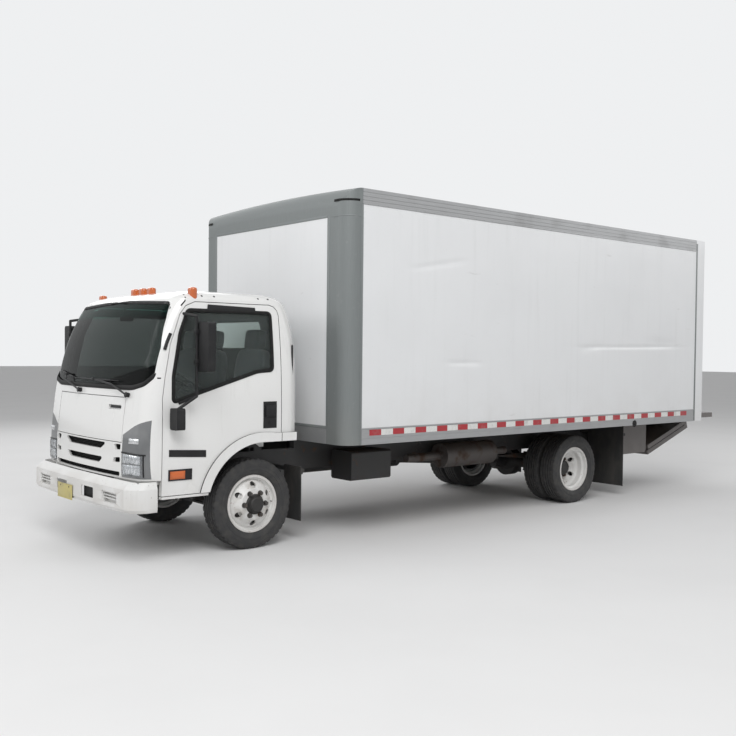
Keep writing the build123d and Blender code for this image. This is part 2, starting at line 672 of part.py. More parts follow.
CAB_REST_TOP_Z = TUNNEL_TOP_Z - 1.0
CAB_REST_Y = 375.0
cab_rest = block(
    (RAIL_OUTER_X - RAIL_FLANGE, RAIL_OUTER_X),
    (CAB_REST_Y - 45.0, CAB_REST_Y + 45.0),
    (RAIL_TOP_Z, CAB_REST_TOP_Z),
)
cab_rest += block(
    (0, RAIL_OUTER_X),
    (CAB_REST_Y - 25.0, CAB_REST_Y + 25.0),
    (CAB_REST_TOP_Z - 24.0, CAB_REST_TOP_Z),
)
frame += both_sides(cab_rest)

# Spring hangers on the rails
HANGER_PLATE = 10.0
HANGER_HALF_DEPTH = 34.0
for spring in SPRINGS:
    for way in (-1, 1):
        y = spring.y + way * (spring.half_length + EYE_REACH)
        z = spring.eye_z - LEAF_THICKNESS / 2
        outer_x = SPRING_X + LEAF_WIDTH / 2 + HANGER_OUTSET - HANGER_PLATE
        for x in (SPRING_X - LEAF_WIDTH / 2 - HANGER_OUTSET, outer_x):
            hanger = block(
                (x, x + HANGER_PLATE),
                (y - HANGER_HALF_DEPTH, y + HANGER_HALF_DEPTH),
                (z - HANGER_HALF_DEPTH, RAIL_BOTTOM_Z + RAIL_SHEET),
            )
            frame += both_sides(hanger)
    for hanger_pin in spring_pins(spring, HANGER_PIN_RADIUS):
        frame += both_sides(hanger_pin)
save("ladder_frame", frame)

# Fuel tank on the right rail and battery box on the left
TANK_FRONT_Y = 1500.0
TANK_LENGTH = 900.0
TANK_WIDTH = 420.0
TANK_HEIGHT = 380.0
TANK_TOP_Z = 790.0
tank = block(
    (-RAIL_OUTER_X - 30.0 - TANK_WIDTH, -RAIL_OUTER_X - 30.0),
    (TANK_FRONT_Y, TANK_FRONT_Y + TANK_LENGTH),
    (TANK_TOP_Z - TANK_HEIGHT, TANK_TOP_Z),
)
tank = fillet(tank.edges().filter_by(Axis.Y), 70.0)
for strap_y in (TANK_FRONT_Y + 180.0, TANK_FRONT_Y + TANK_LENGTH - 180.0):
    tank += block(
        (-RAIL_OUTER_X - 40.0, -RAIL_OUTER_X),
        (strap_y - 30.0, strap_y + 30.0),
        (TANK_TOP_Z - TANK_HEIGHT + 90.0, TANK_TOP_Z - 40.0),
    )
save("fuel_tank", tank)

BATTERY_FRONT_Y = 1250.0
BATTERY_LENGTH = 520.0
BATTERY_WIDTH = 330.0
BATTERY_HEIGHT = 290.0
BATTERY_TOP_Z = 780.0
battery = block(
    (RAIL_OUTER_X + 30.0, RAIL_OUTER_X + 30.0 + BATTERY_WIDTH),
    (BATTERY_FRONT_Y, BATTERY_FRONT_Y + BATTERY_LENGTH),
    (BATTERY_TOP_Z - BATTERY_HEIGHT, BATTERY_TOP_Z),
)
battery = chamfer(battery.edges().filter_by(Axis.Y), 16.0)
for bracket_y in (BATTERY_FRONT_Y + 90.0, BATTERY_FRONT_Y + BATTERY_LENGTH - 90.0):
    battery += block(
        (RAIL_OUTER_X, RAIL_OUTER_X + 34.0),
        (bracket_y - 25.0, bracket_y + 25.0),
        (BATTERY_TOP_Z - 200.0, BATTERY_TOP_Z - 30.0),
    )
save("battery_box", battery)

# Exhaust can on the left rail with its tail pipe
EXHAUST_RADIUS = 135.0
EXHAUST_Y = (2650.0, 3450.0)
EXHAUST_X = RAIL_OUTER_X + 40.0 + EXHAUST_RADIUS
EXHAUST_Z = 640.0
PIPE_RADIUS = 45.0
PIPE_FRONT_LENGTH = 500.0
PIPE_REAR_LENGTH = 260.0
exhaust_runs = [
    (EXHAUST_Y[0], EXHAUST_Y[1], EXHAUST_RADIUS),
    (EXHAUST_Y[0] - PIPE_FRONT_LENGTH, EXHAUST_Y[0], PIPE_RADIUS),
    (EXHAUST_Y[1], EXHAUST_Y[1] + PIPE_REAR_LENGTH, PIPE_RADIUS),
]
runs = []
for start, end, radius in exhaust_runs:
    runs.append(rod((EXHAUST_X, start, EXHAUST_Z), (EXHAUST_X, end, EXHAUST_Z), radius))
exhaust = runs[0].fuse(*runs[1:])
for bracket_y in (EXHAUST_Y[0] + 150.0, EXHAUST_Y[1] - 150.0):
    exhaust += block(
        (RAIL_OUTER_X, EXHAUST_X),
        (bracket_y - 20.0, bracket_y + 20.0),
        (EXHAUST_Z - 20.0, EXHAUST_Z + 60.0),
    )
save("exhaust", exhaust)

# Freight body floor: planks on cross sills, on two long sills over the rails
FLOOR_Y = (BOX_FRONT_Y + BOX_WALL, BOX_REAR_Y - REAR_POST_DEPTH)
floor_space = block((-BOX_INNER_X, BOX_INNER_X), FLOOR_Y, (SILL_BOTTOM_Z, FLOOR_TOP_Z))
front_corners = floor_space.edges().filter_by(Axis.Z).sort_by(Axis.Y)[:2]
floor_space = fillet(front_corners, BOX_CORNER_RADIUS)
floor = floor_space & block((-BOX_INNER_X, BOX_INNER_X), FLOOR_Y, (FLOOR_BOTTOM_Z, FLOOR_TOP_Z))
save("load_floor", floor)

sill_pitch = (FLOOR_Y[1] - FLOOR_Y[0] - SILL_WIDTH) / (SILL_COUNT - 1)
SILL_WEB = 8.0
sills = []
for count in range(SILL_COUNT):
    start = FLOOR_Y[0] + count * sill_pitch
    sill = block((-BOX_INNER_X, BOX_INNER_X), (start, start + SILL_WIDTH), (SILL_BOTTOM_Z, FLOOR_BOTTOM_Z))
    sill -= block(
        (-BOX_INNER_X, BOX_INNER_X),
        (start, start + SILL_WIDTH - SILL_WEB),
        (SILL_BOTTOM_Z + SILL_WEB, FLOOR_BOTTOM_Z - SILL_WEB),
    )
    sills.append(sill & floor_space)
long_sill = block(
    (RAIL_OUTER_X - LONG_SILL_WIDTH, RAIL_OUTER_X),
    FLOOR_Y,
    (RAIL_TOP_Z, SILL_BOTTOM_Z),
)
sills += [long_sill, mirror(long_sill, Plane.YZ)]
save("floor_sills", sills[0].fuse(*sills[1:]))

# Freight body shell: one rounded form, split below into its real panels
NOSE_BAND_HEIGHT = 277.0
NOSE_BAND_Z = BOX_TOP_Z + BOX_CROWN - NOSE_BAND_HEIGHT
BOX_CROWN_TOP_Z = BOX_TOP_Z + BOX_CROWN


def body_form(inset):
    """The freight body's outer form with its rounded nose and cambered roof."""
    half = BOX_HALF_WIDTH - inset
    front = BOX_FRONT_Y + inset
    crown = BOX_CROWN_TOP_Z - inset
    eave = BOX_TOP_Z - inset
    outline = make_face(
        [
            Line((-half, BOX_RAIL_BOTTOM_Z), (half, BOX_RAIL_BOTTOM_Z)),
            Line((half, BOX_RAIL_BOTTOM_Z), (half, eave)),
            ThreePointArc((half, eave), (0, crown), (-half, eave)),
            Line((-half, eave), (-half, BOX_RAIL_BOTTOM_Z)),
        ]
    )
    form = extrude(Plane.XZ.offset(-front) * outline, front - BOX_REAR_Y)
    brow = form.edges().filter_by(GeomType.CIRCLE).sort_by(Axis.Y)[0]
    form = fillet(brow, BOX_NOSE_RADIUS - inset)
    plan = plan_prism(
        [(-half, front), (half, front), (half, BOX_REAR_Y), (-half, BOX_REAR_Y)],
        (BOX_RAIL_BOTTOM_Z, crown + BOX_CROWN),
    )
    upright = plan.edges().filter_by(Axis.Z).sort_by(Axis.Y)[:2]
    return form & fillet(upright, BOX_CORNER_RADIUS - inset)


body_shell = body_form(0) - body_form(BOX_WALL)
everything = (-2 * BOX_HALF_WIDTH, 2 * BOX_HALF_WIDTH)
above_crown_z = BOX_CROWN_TOP_Z + BOX_CROWN
ahead_of_box_y = BOX_FRONT_Y - BOX_WALL
panel_rear_y = BOX_FRONT_Y + BOX_WALL + 1.0
post_rear_y = BOX_FRONT_Y + POST_SIDE_WIDTH
post_inner_x = BOX_HALF_WIDTH - POST_FRONT_WIDTH
rear_frame_y = BOX_REAR_Y - REAR_POST_DEPTH
nose_zone = block(everything, (ahead_of_box_y, post_rear_y), (BOX_RAIL_BOTTOM_Z, above_crown_z))
panel_zone = block((-post_inner_x, post_inner_x), (ahead_of_box_y, panel_rear_y), (BOX_RAIL_TOP_Z, NOSE_BAND_Z))
front_sill_zone = block(
    (-post_inner_x, post_inner_x),
    (ahead_of_box_y, panel_rear_y),
    (BOX_RAIL_BOTTOM_Z, BOX_RAIL_TOP_Z),
)
side_zone = block(everything, (post_rear_y, rear_frame_y), (BOX_RAIL_TOP_Z, BOX_TOP_RAIL_BOTTOM_Z))
rail_zone = block(everything, (post_rear_y, rear_frame_y), (BOX_RAIL_BOTTOM_Z, BOX_RAIL_TOP_Z))
TOP_RAIL_DEPTH = 70.0
roof_half_width = BOX_HALF_WIDTH - TOP_RAIL_DEPTH
top_rail_zone = both_sides(
    block((roof_half_width, everything[1]), (post_rear_y, rear_frame_y), (BOX_TOP_RAIL_BOTTOM_Z, above_crown_z))
)
roof_zone = block(
    (-roof_half_width, roof_half_width),
    (post_rear_y, rear_frame_y),
    (BOX_TOP_Z - BOX_WALL, above_crown_z),
)
save("body_nose", body_shell & nose_zone - panel_zone - front_sill_zone)
save("wall_front", body_shell & panel_zone)
save("walls_side", body_shell & side_zone)
save("body_roof", body_shell & roof_zone)
save("top_rails", body_shell & top_rail_zone)
save("bottom_rails", (body_shell & rail_zone) + (body_shell & front_sill_zone))

# Rear frame: posts, header and sill round the door opening
opening_x = BOX_HALF_WIDTH - REAR_POST_WIDTH
opening_top_z = BOX_TOP_Z - REAR_HEADER_HEIGHT
rear_frame = body_form(0) & block(everything, (rear_frame_y, BOX_REAR_Y), (BOX_RAIL_BOTTOM_Z, above_crown_z))
rear_frame -= block((-opening_x, opening_x), (rear_frame_y, BOX_REAR_Y), (FLOOR_TOP_Z, opening_top_z))
DOOR_SET_BACK = 70.0
door_track_y = BOX_REAR_Y - DOOR_SET_BACK
save("rear_frame", rear_frame)

# Roll-up door: hinged panels between the posts with a lift strap and a latch
DOOR_GAP = 4.0
DOOR_BACKING = 8.0
LATCH_THICKNESS = 12.0
panel_height = (opening_top_z - FLOOR_TOP_Z) / DOOR_PANEL_COUNT
roll_door = []
for count in range(DOOR_PANEL_COUNT):
    low = FLOOR_TOP_Z + count * panel_height
    panel = block(
        (-opening_x, opening_x),
        (door_track_y, door_track_y + DOOR_PANEL_THICKNESS),
        (low, low + panel_height - DOOR_GAP),
    )
    roll_door.append(panel)
backing = block(
    (-opening_x + 40.0, opening_x - 40.0),
    (door_track_y - DOOR_BACKING, door_track_y),
    (FLOOR_TOP_Z, opening_top_z - DOOR_GAP),
)
door_face_y = door_track_y + DOOR_PANEL_THICKNESS
latch = block(
    (-150.0, 150.0),
    (door_face_y, door_face_y + LATCH_THICKNESS),
    (FLOOR_TOP_Z + 60.0, FLOOR_TOP_Z + 210.0),
)
save("roll_up_door", backing.fuse(*roll_door, latch))

# Lamps of the freight body: three on the rear header and two stacked on each rear post
TAIL_LAMP_RADIUS = 52.0
TAIL_LAMP_DEPTH = 24.0
HEADER_LAMP_PITCH = 150.0
HEADER_LAMP_SIZE = (90.0, 22.0, 35.0)
header_lamp = Pos(0, BOX_REAR_Y + HEADER_LAMP_SIZE[1] / 2, BOX_TOP_Z - 42.5) * Box(*HEADER_LAMP_SIZE)
lamps = [Pos(x, 0, 0) * header_lamp for x in (-HEADER_LAMP_PITCH, 0, HEADER_LAMP_PITCH)]
for side in (-1, 1):
    lamp_x = side * (BOX_HALF_WIDTH - REAR_POST_WIDTH / 2)
    for z in (FLOOR_TOP_Z + 210.0, FLOOR_TOP_Z + 340.0):
        tail_lamp = rod((lamp_x, BOX_REAR_Y, z), (lamp_x, BOX_REAR_Y + TAIL_LAMP_DEPTH, z), TAIL_LAMP_RADIUS)
        lamps.append(tail_lamp)
save("body_lamps", Compound([solid for lamp in lamps for solid in lamp.solids()]))

# Cab: one form, hollow, with its floor over the wheels and the engine
cab_outer = cab_form(0)
cab_inner = cab_form(CAB_WALL)
wide = (-1200.0, 1200.0)
ahead_of_cab_y = -1300.0
behind_cab_y = CAB_BACK_Y + 30.0
below_cab_z = 400.0
FOOTWELL_REAR_Y = ARCH_CENTRE_Y - ARCH_RADIUS


def arch_disc(radius):
    """A disc across the cab on the wheel arches' centre."""
    return Pos(0, ARCH_CENTRE_Y, ARCH_CENTRE_Z) * Rot(0, 90, 0) * Cylinder(radius, wide[1] - wide[0])


def underside(grow, inner_x):
    """The space under the cab floor: tunnel, wheel arches and the low front, grown by a sheet."""
    space = block(
        (-TUNNEL_HALF_WIDTH - grow, TUNNEL_HALF_WIDTH + grow),
        (ahead_of_cab_y, behind_cab_y),
        (below_cab_z, TUNNEL_TOP_Z + grow),
    )
    arch = arch_disc(ARCH_RADIUS + grow)
    arch += block(wide, (ARCH_CENTRE_Y, behind_cab_y), (below_cab_z, ARCH_CENTRE_Z + ARCH_RADIUS + grow))
    arch += block(wide, (ARCH_CENTRE_Y - ARCH_RADIUS - grow, ARCH_CENTRE_Y), (below_cab_z, ARCH_CENTRE_Z))
    arch -= block((grow - inner_x, inner_x - grow), (ahead_of_cab_y, behind_cab_y), (0, CAB_GUTTER_Z))
    low_front = block(wide, (ahead_of_cab_y, FOOTWELL_REAR_Y), (below_cab_z, CAB_FRONT_BOTTOM_Z - 40.0 + grow))
    return space + arch + low_front


void = underside(0, TUNNEL_HALF_WIDTH)
floor_pan = (cab_inner & underside(CAB_SHEET, TUNNEL_HALF_WIDTH)) - void
firewall = cab_inner & (
    block(wide, (FIREWALL_Y, FIREWALL_Y + CAB_SHEET), (CAB_FRONT_BOTTOM_Z, FIREWALL_TOP_Z))
    + block(wide, (ahead_of_cab_y, FIREWALL_Y + CAB_SHEET), (FIREWALL_TOP_Z - CAB_SHEET, FIREWALL_TOP_Z))
)
firewall -= void
arch_opening = arch_disc(ARCH_RADIUS)
arch_opening += block(wide, (ARCH_CENTRE_Y, behind_cab_y), (below_cab_z, ARCH_CENTRE_Z + ARCH_RADIUS))
wall = cab_outer - cab_inner - arch_opening
wall -= block(wide, (ahead_of_cab_y, DOOR_FRONT_Y), (below_cab_z, CAB_FRONT_BOTTOM_Z))
wall -= block((-900.0, 900.0), (300.0, behind_cab_y), (below_cab_z, ARCH_CENTRE_Z + ARCH_RADIUS))

# Flares: a raised band round each wheel arch
FLARE_REAR_Y = CAB_BACK_Y - 60.0
FLARE_LENGTH = 1700.0
flare_top_z = ARCH_CENTRE_Z + ARCH_RADIUS + FLARE_WIDTH
band = arch_disc(ARCH_RADIUS + FLARE_WIDTH)
band += block(wide, (ARCH_CENTRE_Y, FLARE_REAR_Y), (ARCH_CENTRE_Z, flare_top_z - 12.0))
band = (band - arch_opening) & block(wide, (-700.0, FLARE_REAR_Y), (CAB_BOTTOM_Z, flare_top_z))
low_section, wide_section = CAB_SECTIONS[:2]
flare_form = loft(
    [
        Pos(0, 0, section.height) * Rectangle(2 * (section.half_width + FLARE_DEPTH), FLARE_LENGTH)
        for section in (low_section, wide_section)
    ],
    ruled=True,
)
flare_plan = Rectangle(2 * (wide_section.half_width + FLARE_DEPTH), FLARE_LENGTH)
flare_top = extrude(Pos(0, 0, wide_section.height) * flare_plan, flare_top_z - wide_section.height)
wall += (flare_form + flare_top) & band - cab_inner

door_points = [
    (DOOR_FRONT_Y, CAB_BOTTOM_Z),
    (DOOR_FRONT_Y, 1374.0),
    (DOOR_FRONT_Y + 27.0, 1554.0),
    (DOOR_FRONT_Y + 86.0, 1830.0),
    (DOOR_FRONT_Y + 188.0, 2076.0),
    (DOOR_FRONT_Y + 248.0, 2150.0),
    (DOOR_FRONT_Y + 338.0, DOOR_TOP_Z),
    (DOOR_REAR_Y - 90.0, DOOR_TOP_Z),
    (DOOR_REAR_Y - 45.0, DOOR_TOP_Z - 12.0),
    (DOOR_REAR_Y - 12.0, DOOR_TOP_Z - 45.0),
    (DOOR_REAR_Y, DOOR_TOP_Z - 90.0),
    (DOOR_REAR_Y, CAB_BOTTOM_Z),
]
window_points = [
    (DOOR_FRONT_Y + 96.0, 1345.0),
    (DOOR_FRONT_Y + 100.0, 1560.0),
    (DOOR_FRONT_Y + 175.0, 1919.0),
    (DOOR_FRONT_Y + 262.0, 2118.0),
    (DOOR_REAR_Y - 86.0, 2118.0),
    (DOOR_REAR_Y - 90.0, 1606.0),
    (DOOR_REAR_Y - 250.0, 1596.0),
]
door_side = (600.0, wide[1])
DOOR_SILL_X = 963.0
door_cut = side_prism(door_points, door_side)
hole_face = offset(make_face(Polyline(*door_points, close=True)), PANEL_GAP)
door_hole = extrude(Plane.YZ.offset(door_side[0]) * hole_face, door_side[1] - door_side[0])
sill_gap = extrude(Plane.YZ.offset(DOOR_SILL_X) * hole_face, door_side[1] - DOOR_SILL_X)
window_cut = side_prism(window_points, door_side, 22.0)
glass_form = cab_sides(GLASS_INSET) - cab_sides(GLASS_INSET + GLASS_THICKNESS)
door = (wall & door_cut) - window_cut
door_glass = glass_form & window_cut

windshield_half = [
    (760.0, 1462.0),
    (930.0, 1500.0),
    (988.0, 1570.0),
    (978.0, 1800.0),
    (930.0, 2040.0),
    (888.0, 2172.0),
]
windshield_points = [(-x, z) for x, z in windshield_half[::-1]] + windshield_half + [(0.0, 2205.0)]
windshield_cut = front_prism(windshield_points, (ahead_of_cab_y, -640.0), 20.0)
rear_window_points = [(-470.0, 1790.0), (470.0, 1790.0), (450.0, 2075.0), (-450.0, 2075.0)]
rear_window_cut = front_prism(rear_window_points, (250.0, behind_cab_y), 60.0)
cab_glass = Compound([*(glass_form & windshield_cut).solids(), *(glass_form & rear_window_cut).solids()])

# Front lid and grille
front_zone = (ahead_of_cab_y, FIREWALL_Y)
lid_points = [
    (-LID_HALF_WIDTH, LID_BOTTOM_Z),
    (LID_HALF_WIDTH, LID_BOTTOM_Z),
    (LID_HALF_WIDTH, LID_TOP_Z),
    (-LID_HALF_WIDTH, LID_TOP_Z),
]
lid_skin = cab_sides(0) - cab_sides(LID_THICKNESS)
lid = lid_skin & front_prism(lid_points, front_zone)
LID_HANDLE_DEPTH = 14.0
lid_handle_points = [(420.0, 1272.0), (632.0, 1272.0), (632.0, 1310.0), (420.0, 1310.0)]
lid -= front_prism(lid_handle_points, front_zone, 12.0) - cab_sides(LID_HANDLE_DEPTH)
lid_hole = front_prism(
    [
        (-LID_HALF_WIDTH - PANEL_GAP, LID_BOTTOM_Z - PANEL_GAP),
        (LID_HALF_WIDTH + PANEL_GAP, LID_BOTTOM_Z - PANEL_GAP),
        (LID_HALF_WIDTH + PANEL_GAP, LID_TOP_Z + PANEL_GAP),
        (-LID_HALF_WIDTH - PANEL_GAP, LID_TOP_Z + PANEL_GAP),
    ],
    front_zone,
)
grille_top_z = LID_BOTTOM_Z - PANEL_GAP
grille_points = [
    (-LID_HALF_WIDTH - PANEL_GAP, CAB_FRONT_BOTTOM_Z),
    (LID_HALF_WIDTH + PANEL_GAP, CAB_FRONT_BOTTOM_Z),
    (LID_HALF_WIDTH + PANEL_GAP, grille_top_z),
    (-LID_HALF_WIDTH - PANEL_GAP, grille_top_z),
]
grille_cut = front_prism(grille_points, front_zone)
grille_form = cab_sides(0) - cab_sides(GRILLE_DEPTH)
grille = grille_form & grille_cut
GRILLE_SLOTS = [
    [(-445.0, 984.0), (445.0, 984.0), (340.0, 926.0), (-340.0, 926.0)],
    [(-390.0, 856.0), (390.0, 856.0), (318.0, 804.0), (-318.0, 804.0)],
    [(-672.0, 752.0), (672.0, 752.0), (662.0, 714.0), (-662.0, 714.0)],
    [(568.0, 981.0), (676.0, 985.0), (676.0, 940.0), (592.0, 934.0)],
    [(-676.0, 985.0), (-568.0, 981.0), (-592.0, 934.0), (-676.0, 940.0)],
    [(574.0, 868.0), (676.0, 876.0), (676.0, 834.0), (556.0, 826.0)],
    [(-676.0, 876.0), (-574.0, 868.0), (-556.0, 826.0), (-676.0, 834.0)],
]
for slot in GRILLE_SLOTS:
    grille -= front_prism(slot, front_zone, 12.0)

# Headlamps let into the front corners
LAMP_DEPTH = CAB_WALL - 4.0
LAMP_REAR_Y = DOOR_FRONT_Y - 40.0
lamp_points = [
    (702.0, CAB_FRONT_BOTTOM_Z + 12.0),
    (702.0, 1066.0),
    (862.0, 1146.0),
    (1012.0, 1200.0),
    (1012.0, CAB_FRONT_BOTTOM_Z + 16.0),
]
lamp_cut = front_prism(lamp_points, (ahead_of_cab_y, LAMP_REAR_Y))
lamp_left = (cab_sides(0) - cab_sides(LAMP_DEPTH)) & lamp_cut
headlamps = Compound([*lamp_left.solids(), *mirror(lamp_left, Plane.YZ).solids()])

cab = wall - both_sides(door_hole + lamp_cut) - windshield_cut - rear_window_cut - lid_hole - grille_cut
cab += floor_pan + firewall - both_sides(sill_gap)
pivot_hole = rod(
    (-PIVOT_TUBE_END - 4.0, TILT_PIVOT_Y, TILT_PIVOT_Z),
    (PIVOT_TUBE_END + 4.0, TILT_PIVOT_Y, TILT_PIVOT_Z),
    PIVOT_RADIUS + RUNNING_GAP,
)
boss = block(
    (TUNNEL_HALF_WIDTH, PIVOT_TUBE_END + 24.0),
    (TILT_PIVOT_Y - 60.0, TILT_PIVOT_Y + 60.0),
    (TILT_PIVOT_Z - 60.0, TILT_PIVOT_Z + 60.0),
)
cab += both_sides(boss)
cab -= pivot_hole
save("cab_shell", cab)
save("cab_glass", cab_glass)
save("front_lid", lid)
save("grille", grille)
save("headlamps", headlamps)
save("door_left", door)
save("door_right", mirror(door, Plane.YZ))
save("door_glass_left", door_glass)
save("door_glass_right", mirror(door_glass, Plane.YZ))

# Cab furniture: dashboard, steering wheel, driver's seat and passenger bench
DASH_FRONT_Y = FIREWALL_Y + CAB_SHEET
DASH_REAR_Y = -700.0
DASH_TOP_Z = 1440.0
DASH_BOTTOM_Z = 1130.0
DASH_HALF_WIDTH = 880.0
dashboard = side_prism(
    [
        (DASH_FRONT_Y, DASH_BOTTOM_Z + 60.0),
        (DASH_REAR_Y - 60.0, DASH_BOTTOM_Z),
        (DASH_REAR_Y, DASH_BOTTOM_Z + 40.0),
        (DASH_REAR_Y + 10.0, DASH_TOP_Z - 110.0),
        (DASH_REAR_Y - 70.0, DASH_TOP_Z - 20.0),
        (DASH_FRONT_Y, DASH_TOP_Z),
    ],
    (-DASH_HALF_WIDTH, DASH_HALF_WIDTH),
)
DRIVER_X = 540.0
BINNACLE_HALF_WIDTH = 190.0
dashboard += side_prism(
    [
        (DASH_REAR_Y - 200.0, DASH_TOP_Z - 30.0),
        (DASH_REAR_Y + 40.0, DASH_TOP_Z - 150.0),
        (DASH_REAR_Y + 20.0, DASH_TOP_Z + 30.0),
        (DASH_REAR_Y - 110.0, DASH_TOP_Z + 44.0),
    ],
    (DRIVER_X - BINNACLE_HALF_WIDTH, DRIVER_X + BINNACLE_HALF_WIDTH),
)
save("dashboard", dashboard)

WHEEL_RIM_RADIUS = 205.0
WHEEL_RIM_THICKNESS = 15.0
WHEEL_CENTRE = (DRIVER_X, DASH_REAR_Y + 190.0, 1500.0)
WHEEL_TILT = 31.5
tilt = math.radians(WHEEL_TILT)
wheel_plane = Plane(origin=WHEEL_CENTRE, x_dir=(1, 0, 0), z_dir=(0, math.sin(tilt), math.cos(tilt)))
steering_wheel = wheel_plane * Torus(WHEEL_RIM_RADIUS, WHEEL_RIM_THICKNESS)
steering_wheel += wheel_plane * Cylinder(62.0, 40.0)
for turn in (-10.0, 190.0, 270.0):
    spoke = Rot(0, 0, turn) * Pos(WHEEL_RIM_RADIUS / 2, 0, 0) * Box(WHEEL_RIM_RADIUS, 34.0, 14.0)
    steering_wheel += wheel_plane * spoke
steering_wheel += wheel_plane * Pos(0, 0, -100.0) * Cylinder(26.0, 170.0)
steering_wheel -= dashboard
save("steering_wheel", steering_wheel)

Seat = namedtuple("Seat", "name x half_width")
SEATS = [Seat("driver", DRIVER_X, 245.0), Seat("bench", -430.0, 460.0)]
SEAT_BOTTOM_Z = ARCH_CENTRE_Z + ARCH_RADIUS + CAB_SHEET
BACKREST_TOP_Z = 1770.0
cushion_points = [
    (-330.0, SEAT_BOTTOM_Z + 90.0),
    (-330.0, SEAT_BOTTOM_Z + 220.0),
    (170.0, SEAT_BOTTOM_Z + 190.0),
    (170.0, SEAT_BOTTOM_Z),
    (-240.0, SEAT_BOTTOM_Z),
]
backrest_points = [
    (120.0, SEAT_BOTTOM_Z + 120.0),
    (210.0, BACKREST_TOP_Z),
    (310.0, BACKREST_TOP_Z),
    (310.0, SEAT_BOTTOM_Z + 60.0),
    (200.0, SEAT_BOTTOM_Z),
]
seats = []
for seat in SEATS:
    across = (seat.x - seat.half_width, seat.x + seat.half_width)
    seats.append(side_prism(cushion_points, across) + side_prism(backrest_points, across))
save("seats", Compound([solid for seat in seats for solid in seat.solids()]))

# Roof marker lamps on the crown
ROOF_LAMP_LENGTH = 96.0
ROOF_LAMP_WIDTH = 66.0
ROOF_LAMP_HEIGHT = 56.0
ROOF_LAMP_ROUNDING = 20.0
ROOF_LAMPS = [(0.0, -615.0), (165.0, -615.0), (-165.0, -615.0), (900.0, -606.0), (-900.0, -606.0)]
roof_lamps = []
for x, y in ROOF_LAMPS:
    probe = cab_outer & Pos(x, y, CAB_GUTTER_Z) * Cylinder(1.0, 600.0)
    roof_z = probe.bounding_box().max.Z
    lamp_plan = SlotOverall(ROOF_LAMP_LENGTH, ROOF_LAMP_WIDTH)
    lamp = extrude(Pos(x, y, roof_z + ROOF_LAMP_HEIGHT) * lamp_plan, -2 * ROOF_LAMP_HEIGHT)
    lamp = fillet(lamp.edges().group_by(Axis.Z)[-1], ROOF_LAMP_ROUNDING)
    roof_lamps.append(lamp - cab_outer)
save("roof_lamps", Compound([solid for lamp in roof_lamps for solid in lamp.solids()]))

# Door mirrors: a tube from the pillar to the sill line with a tall head and a low wide-angle head
MIRROR_TUBE = 13.0
MIRROR_X = 1130.0
MIRROR_OUTER_X = 1300.0
MIRROR_HEAD_Z = (1598.0, 2012.0)
LOW_HEAD_X = (1062.0, 1178.0)
LOW_HEAD_Y = (-898.0, -818.0)
LOW_HEAD_Z = (1120.0, 1300.0)
MIRROR_TOP_FOOT = (965.0, -727.0, 2085.0)
MIRROR_LOW_FOOT = (1030.0, -800.0, 1335.0)
Mirror = namedtuple("Mirror", "side way y")
MIRRORS = [Mirror("left", 1, -690.0), Mirror("right", -1, -850.0)]
low_head_top = (sum(LOW_HEAD_X) / 2, sum(LOW_HEAD_Y) / 2, LOW_HEAD_Z[1] - 10.0)
for unit in MIRRORS:
    top_bend = (MIRROR_X, unit.y, MIRROR_HEAD_Z[1] + 48.0)
    low_bend = (MIRROR_X, unit.y, 1395.0)
    arm = rod(MIRROR_TOP_FOOT, top_bend, MIRROR_TUBE)
    arm += rod(top_bend, low_bend, MIRROR_TUBE)
    arm += rod(low_bend, MIRROR_LOW_FOOT, MIRROR_TUBE)
    arm += rod(low_head_top, low_bend, MIRROR_TUBE)
    for bend in (top_bend, low_bend):
        arm += Pos(*bend) * Sphere(MIRROR_TUBE)
    head = block((MIRROR_X - 10.0, MIRROR_OUTER_X), (unit.y + 10.0, unit.y + 80.0), MIRROR_HEAD_Z)
    head = fillet(head.edges().filter_by(Axis.Y), 28.0)
    low_head = block(LOW_HEAD_X, LOW_HEAD_Y, LOW_HEAD_Z)
    low_head = fillet(low_head.edges().filter_by(Axis.Y), 20.0)
    mirror_set = arm + head + low_head - cab_outer
    if unit.way < 0:
        mirror_set = mirror(mirror_set, Plane.YZ)
    save(f"mirror_{unit.side}", mirror_set)

# Front bumper: an open-backed shell with a sloped top ledge and brackets to the rails
BUMPER_HALF_WIDTH = 1078.0
BUMPER_CORNER = 140.0
BUMPER_ARCH = 20000.0
BUMPER_BACK_Y = -1015.0
BUMPER_OPEN_Y = -FRONT_OVERHANG + 115.0
BUMPER_SHEET = 8.0
BumperSection = namedtuple("BumperSection", "height inset")
BUMPER_SECTIONS = [
    BumperSection(450.0, 20.0),
    BumperSection(478.0, 0.0),
    BumperSection(640.0, 0.0),
    BumperSection(697.0, 66.0),
]


def bumper_face(section, inset):
    """A bumper plan section with an arched front and tangent corners, open at the back."""
    drawn = inset + section.inset
    nose = -FRONT_OVERHANG + drawn
    half = BUMPER_HALF_WIDTH - inset - section.inset / 3
    corner = BUMPER_CORNER - inset
    corner_x = half - corner
    arch_centre = nose + BUMPER_ARCH
    corner_y = arch_centre - math.sqrt((BUMPER_ARCH - corner) ** 2 - corner_x ** 2)
    turn = math.atan2(corner_x, arch_centre - corner_y)
    tangent = (BUMPER_ARCH * math.sin(turn), arch_centre - BUMPER_ARCH * math.cos(turn))
    middle_turn = (turn + math.pi / 2) / 2
    middle = (corner_x + corner * math.sin(middle_turn), corner_y - corner * math.cos(middle_turn))
    back = BUMPER_BACK_Y + (400.0 if inset else 0.0)
    right = [ThreePointArc(tangent, middle, (half, corner_y)), Line((half, corner_y), (half, back))]
    left = [mirror(edge, Plane.YZ) for edge in right]
    front = ThreePointArc((-tangent[0], tangent[1]), (0, nose), tangent)
    return Pos(0, 0, section.height) * make_face([front, *right, Line((half, back), (-half, back)), *left])


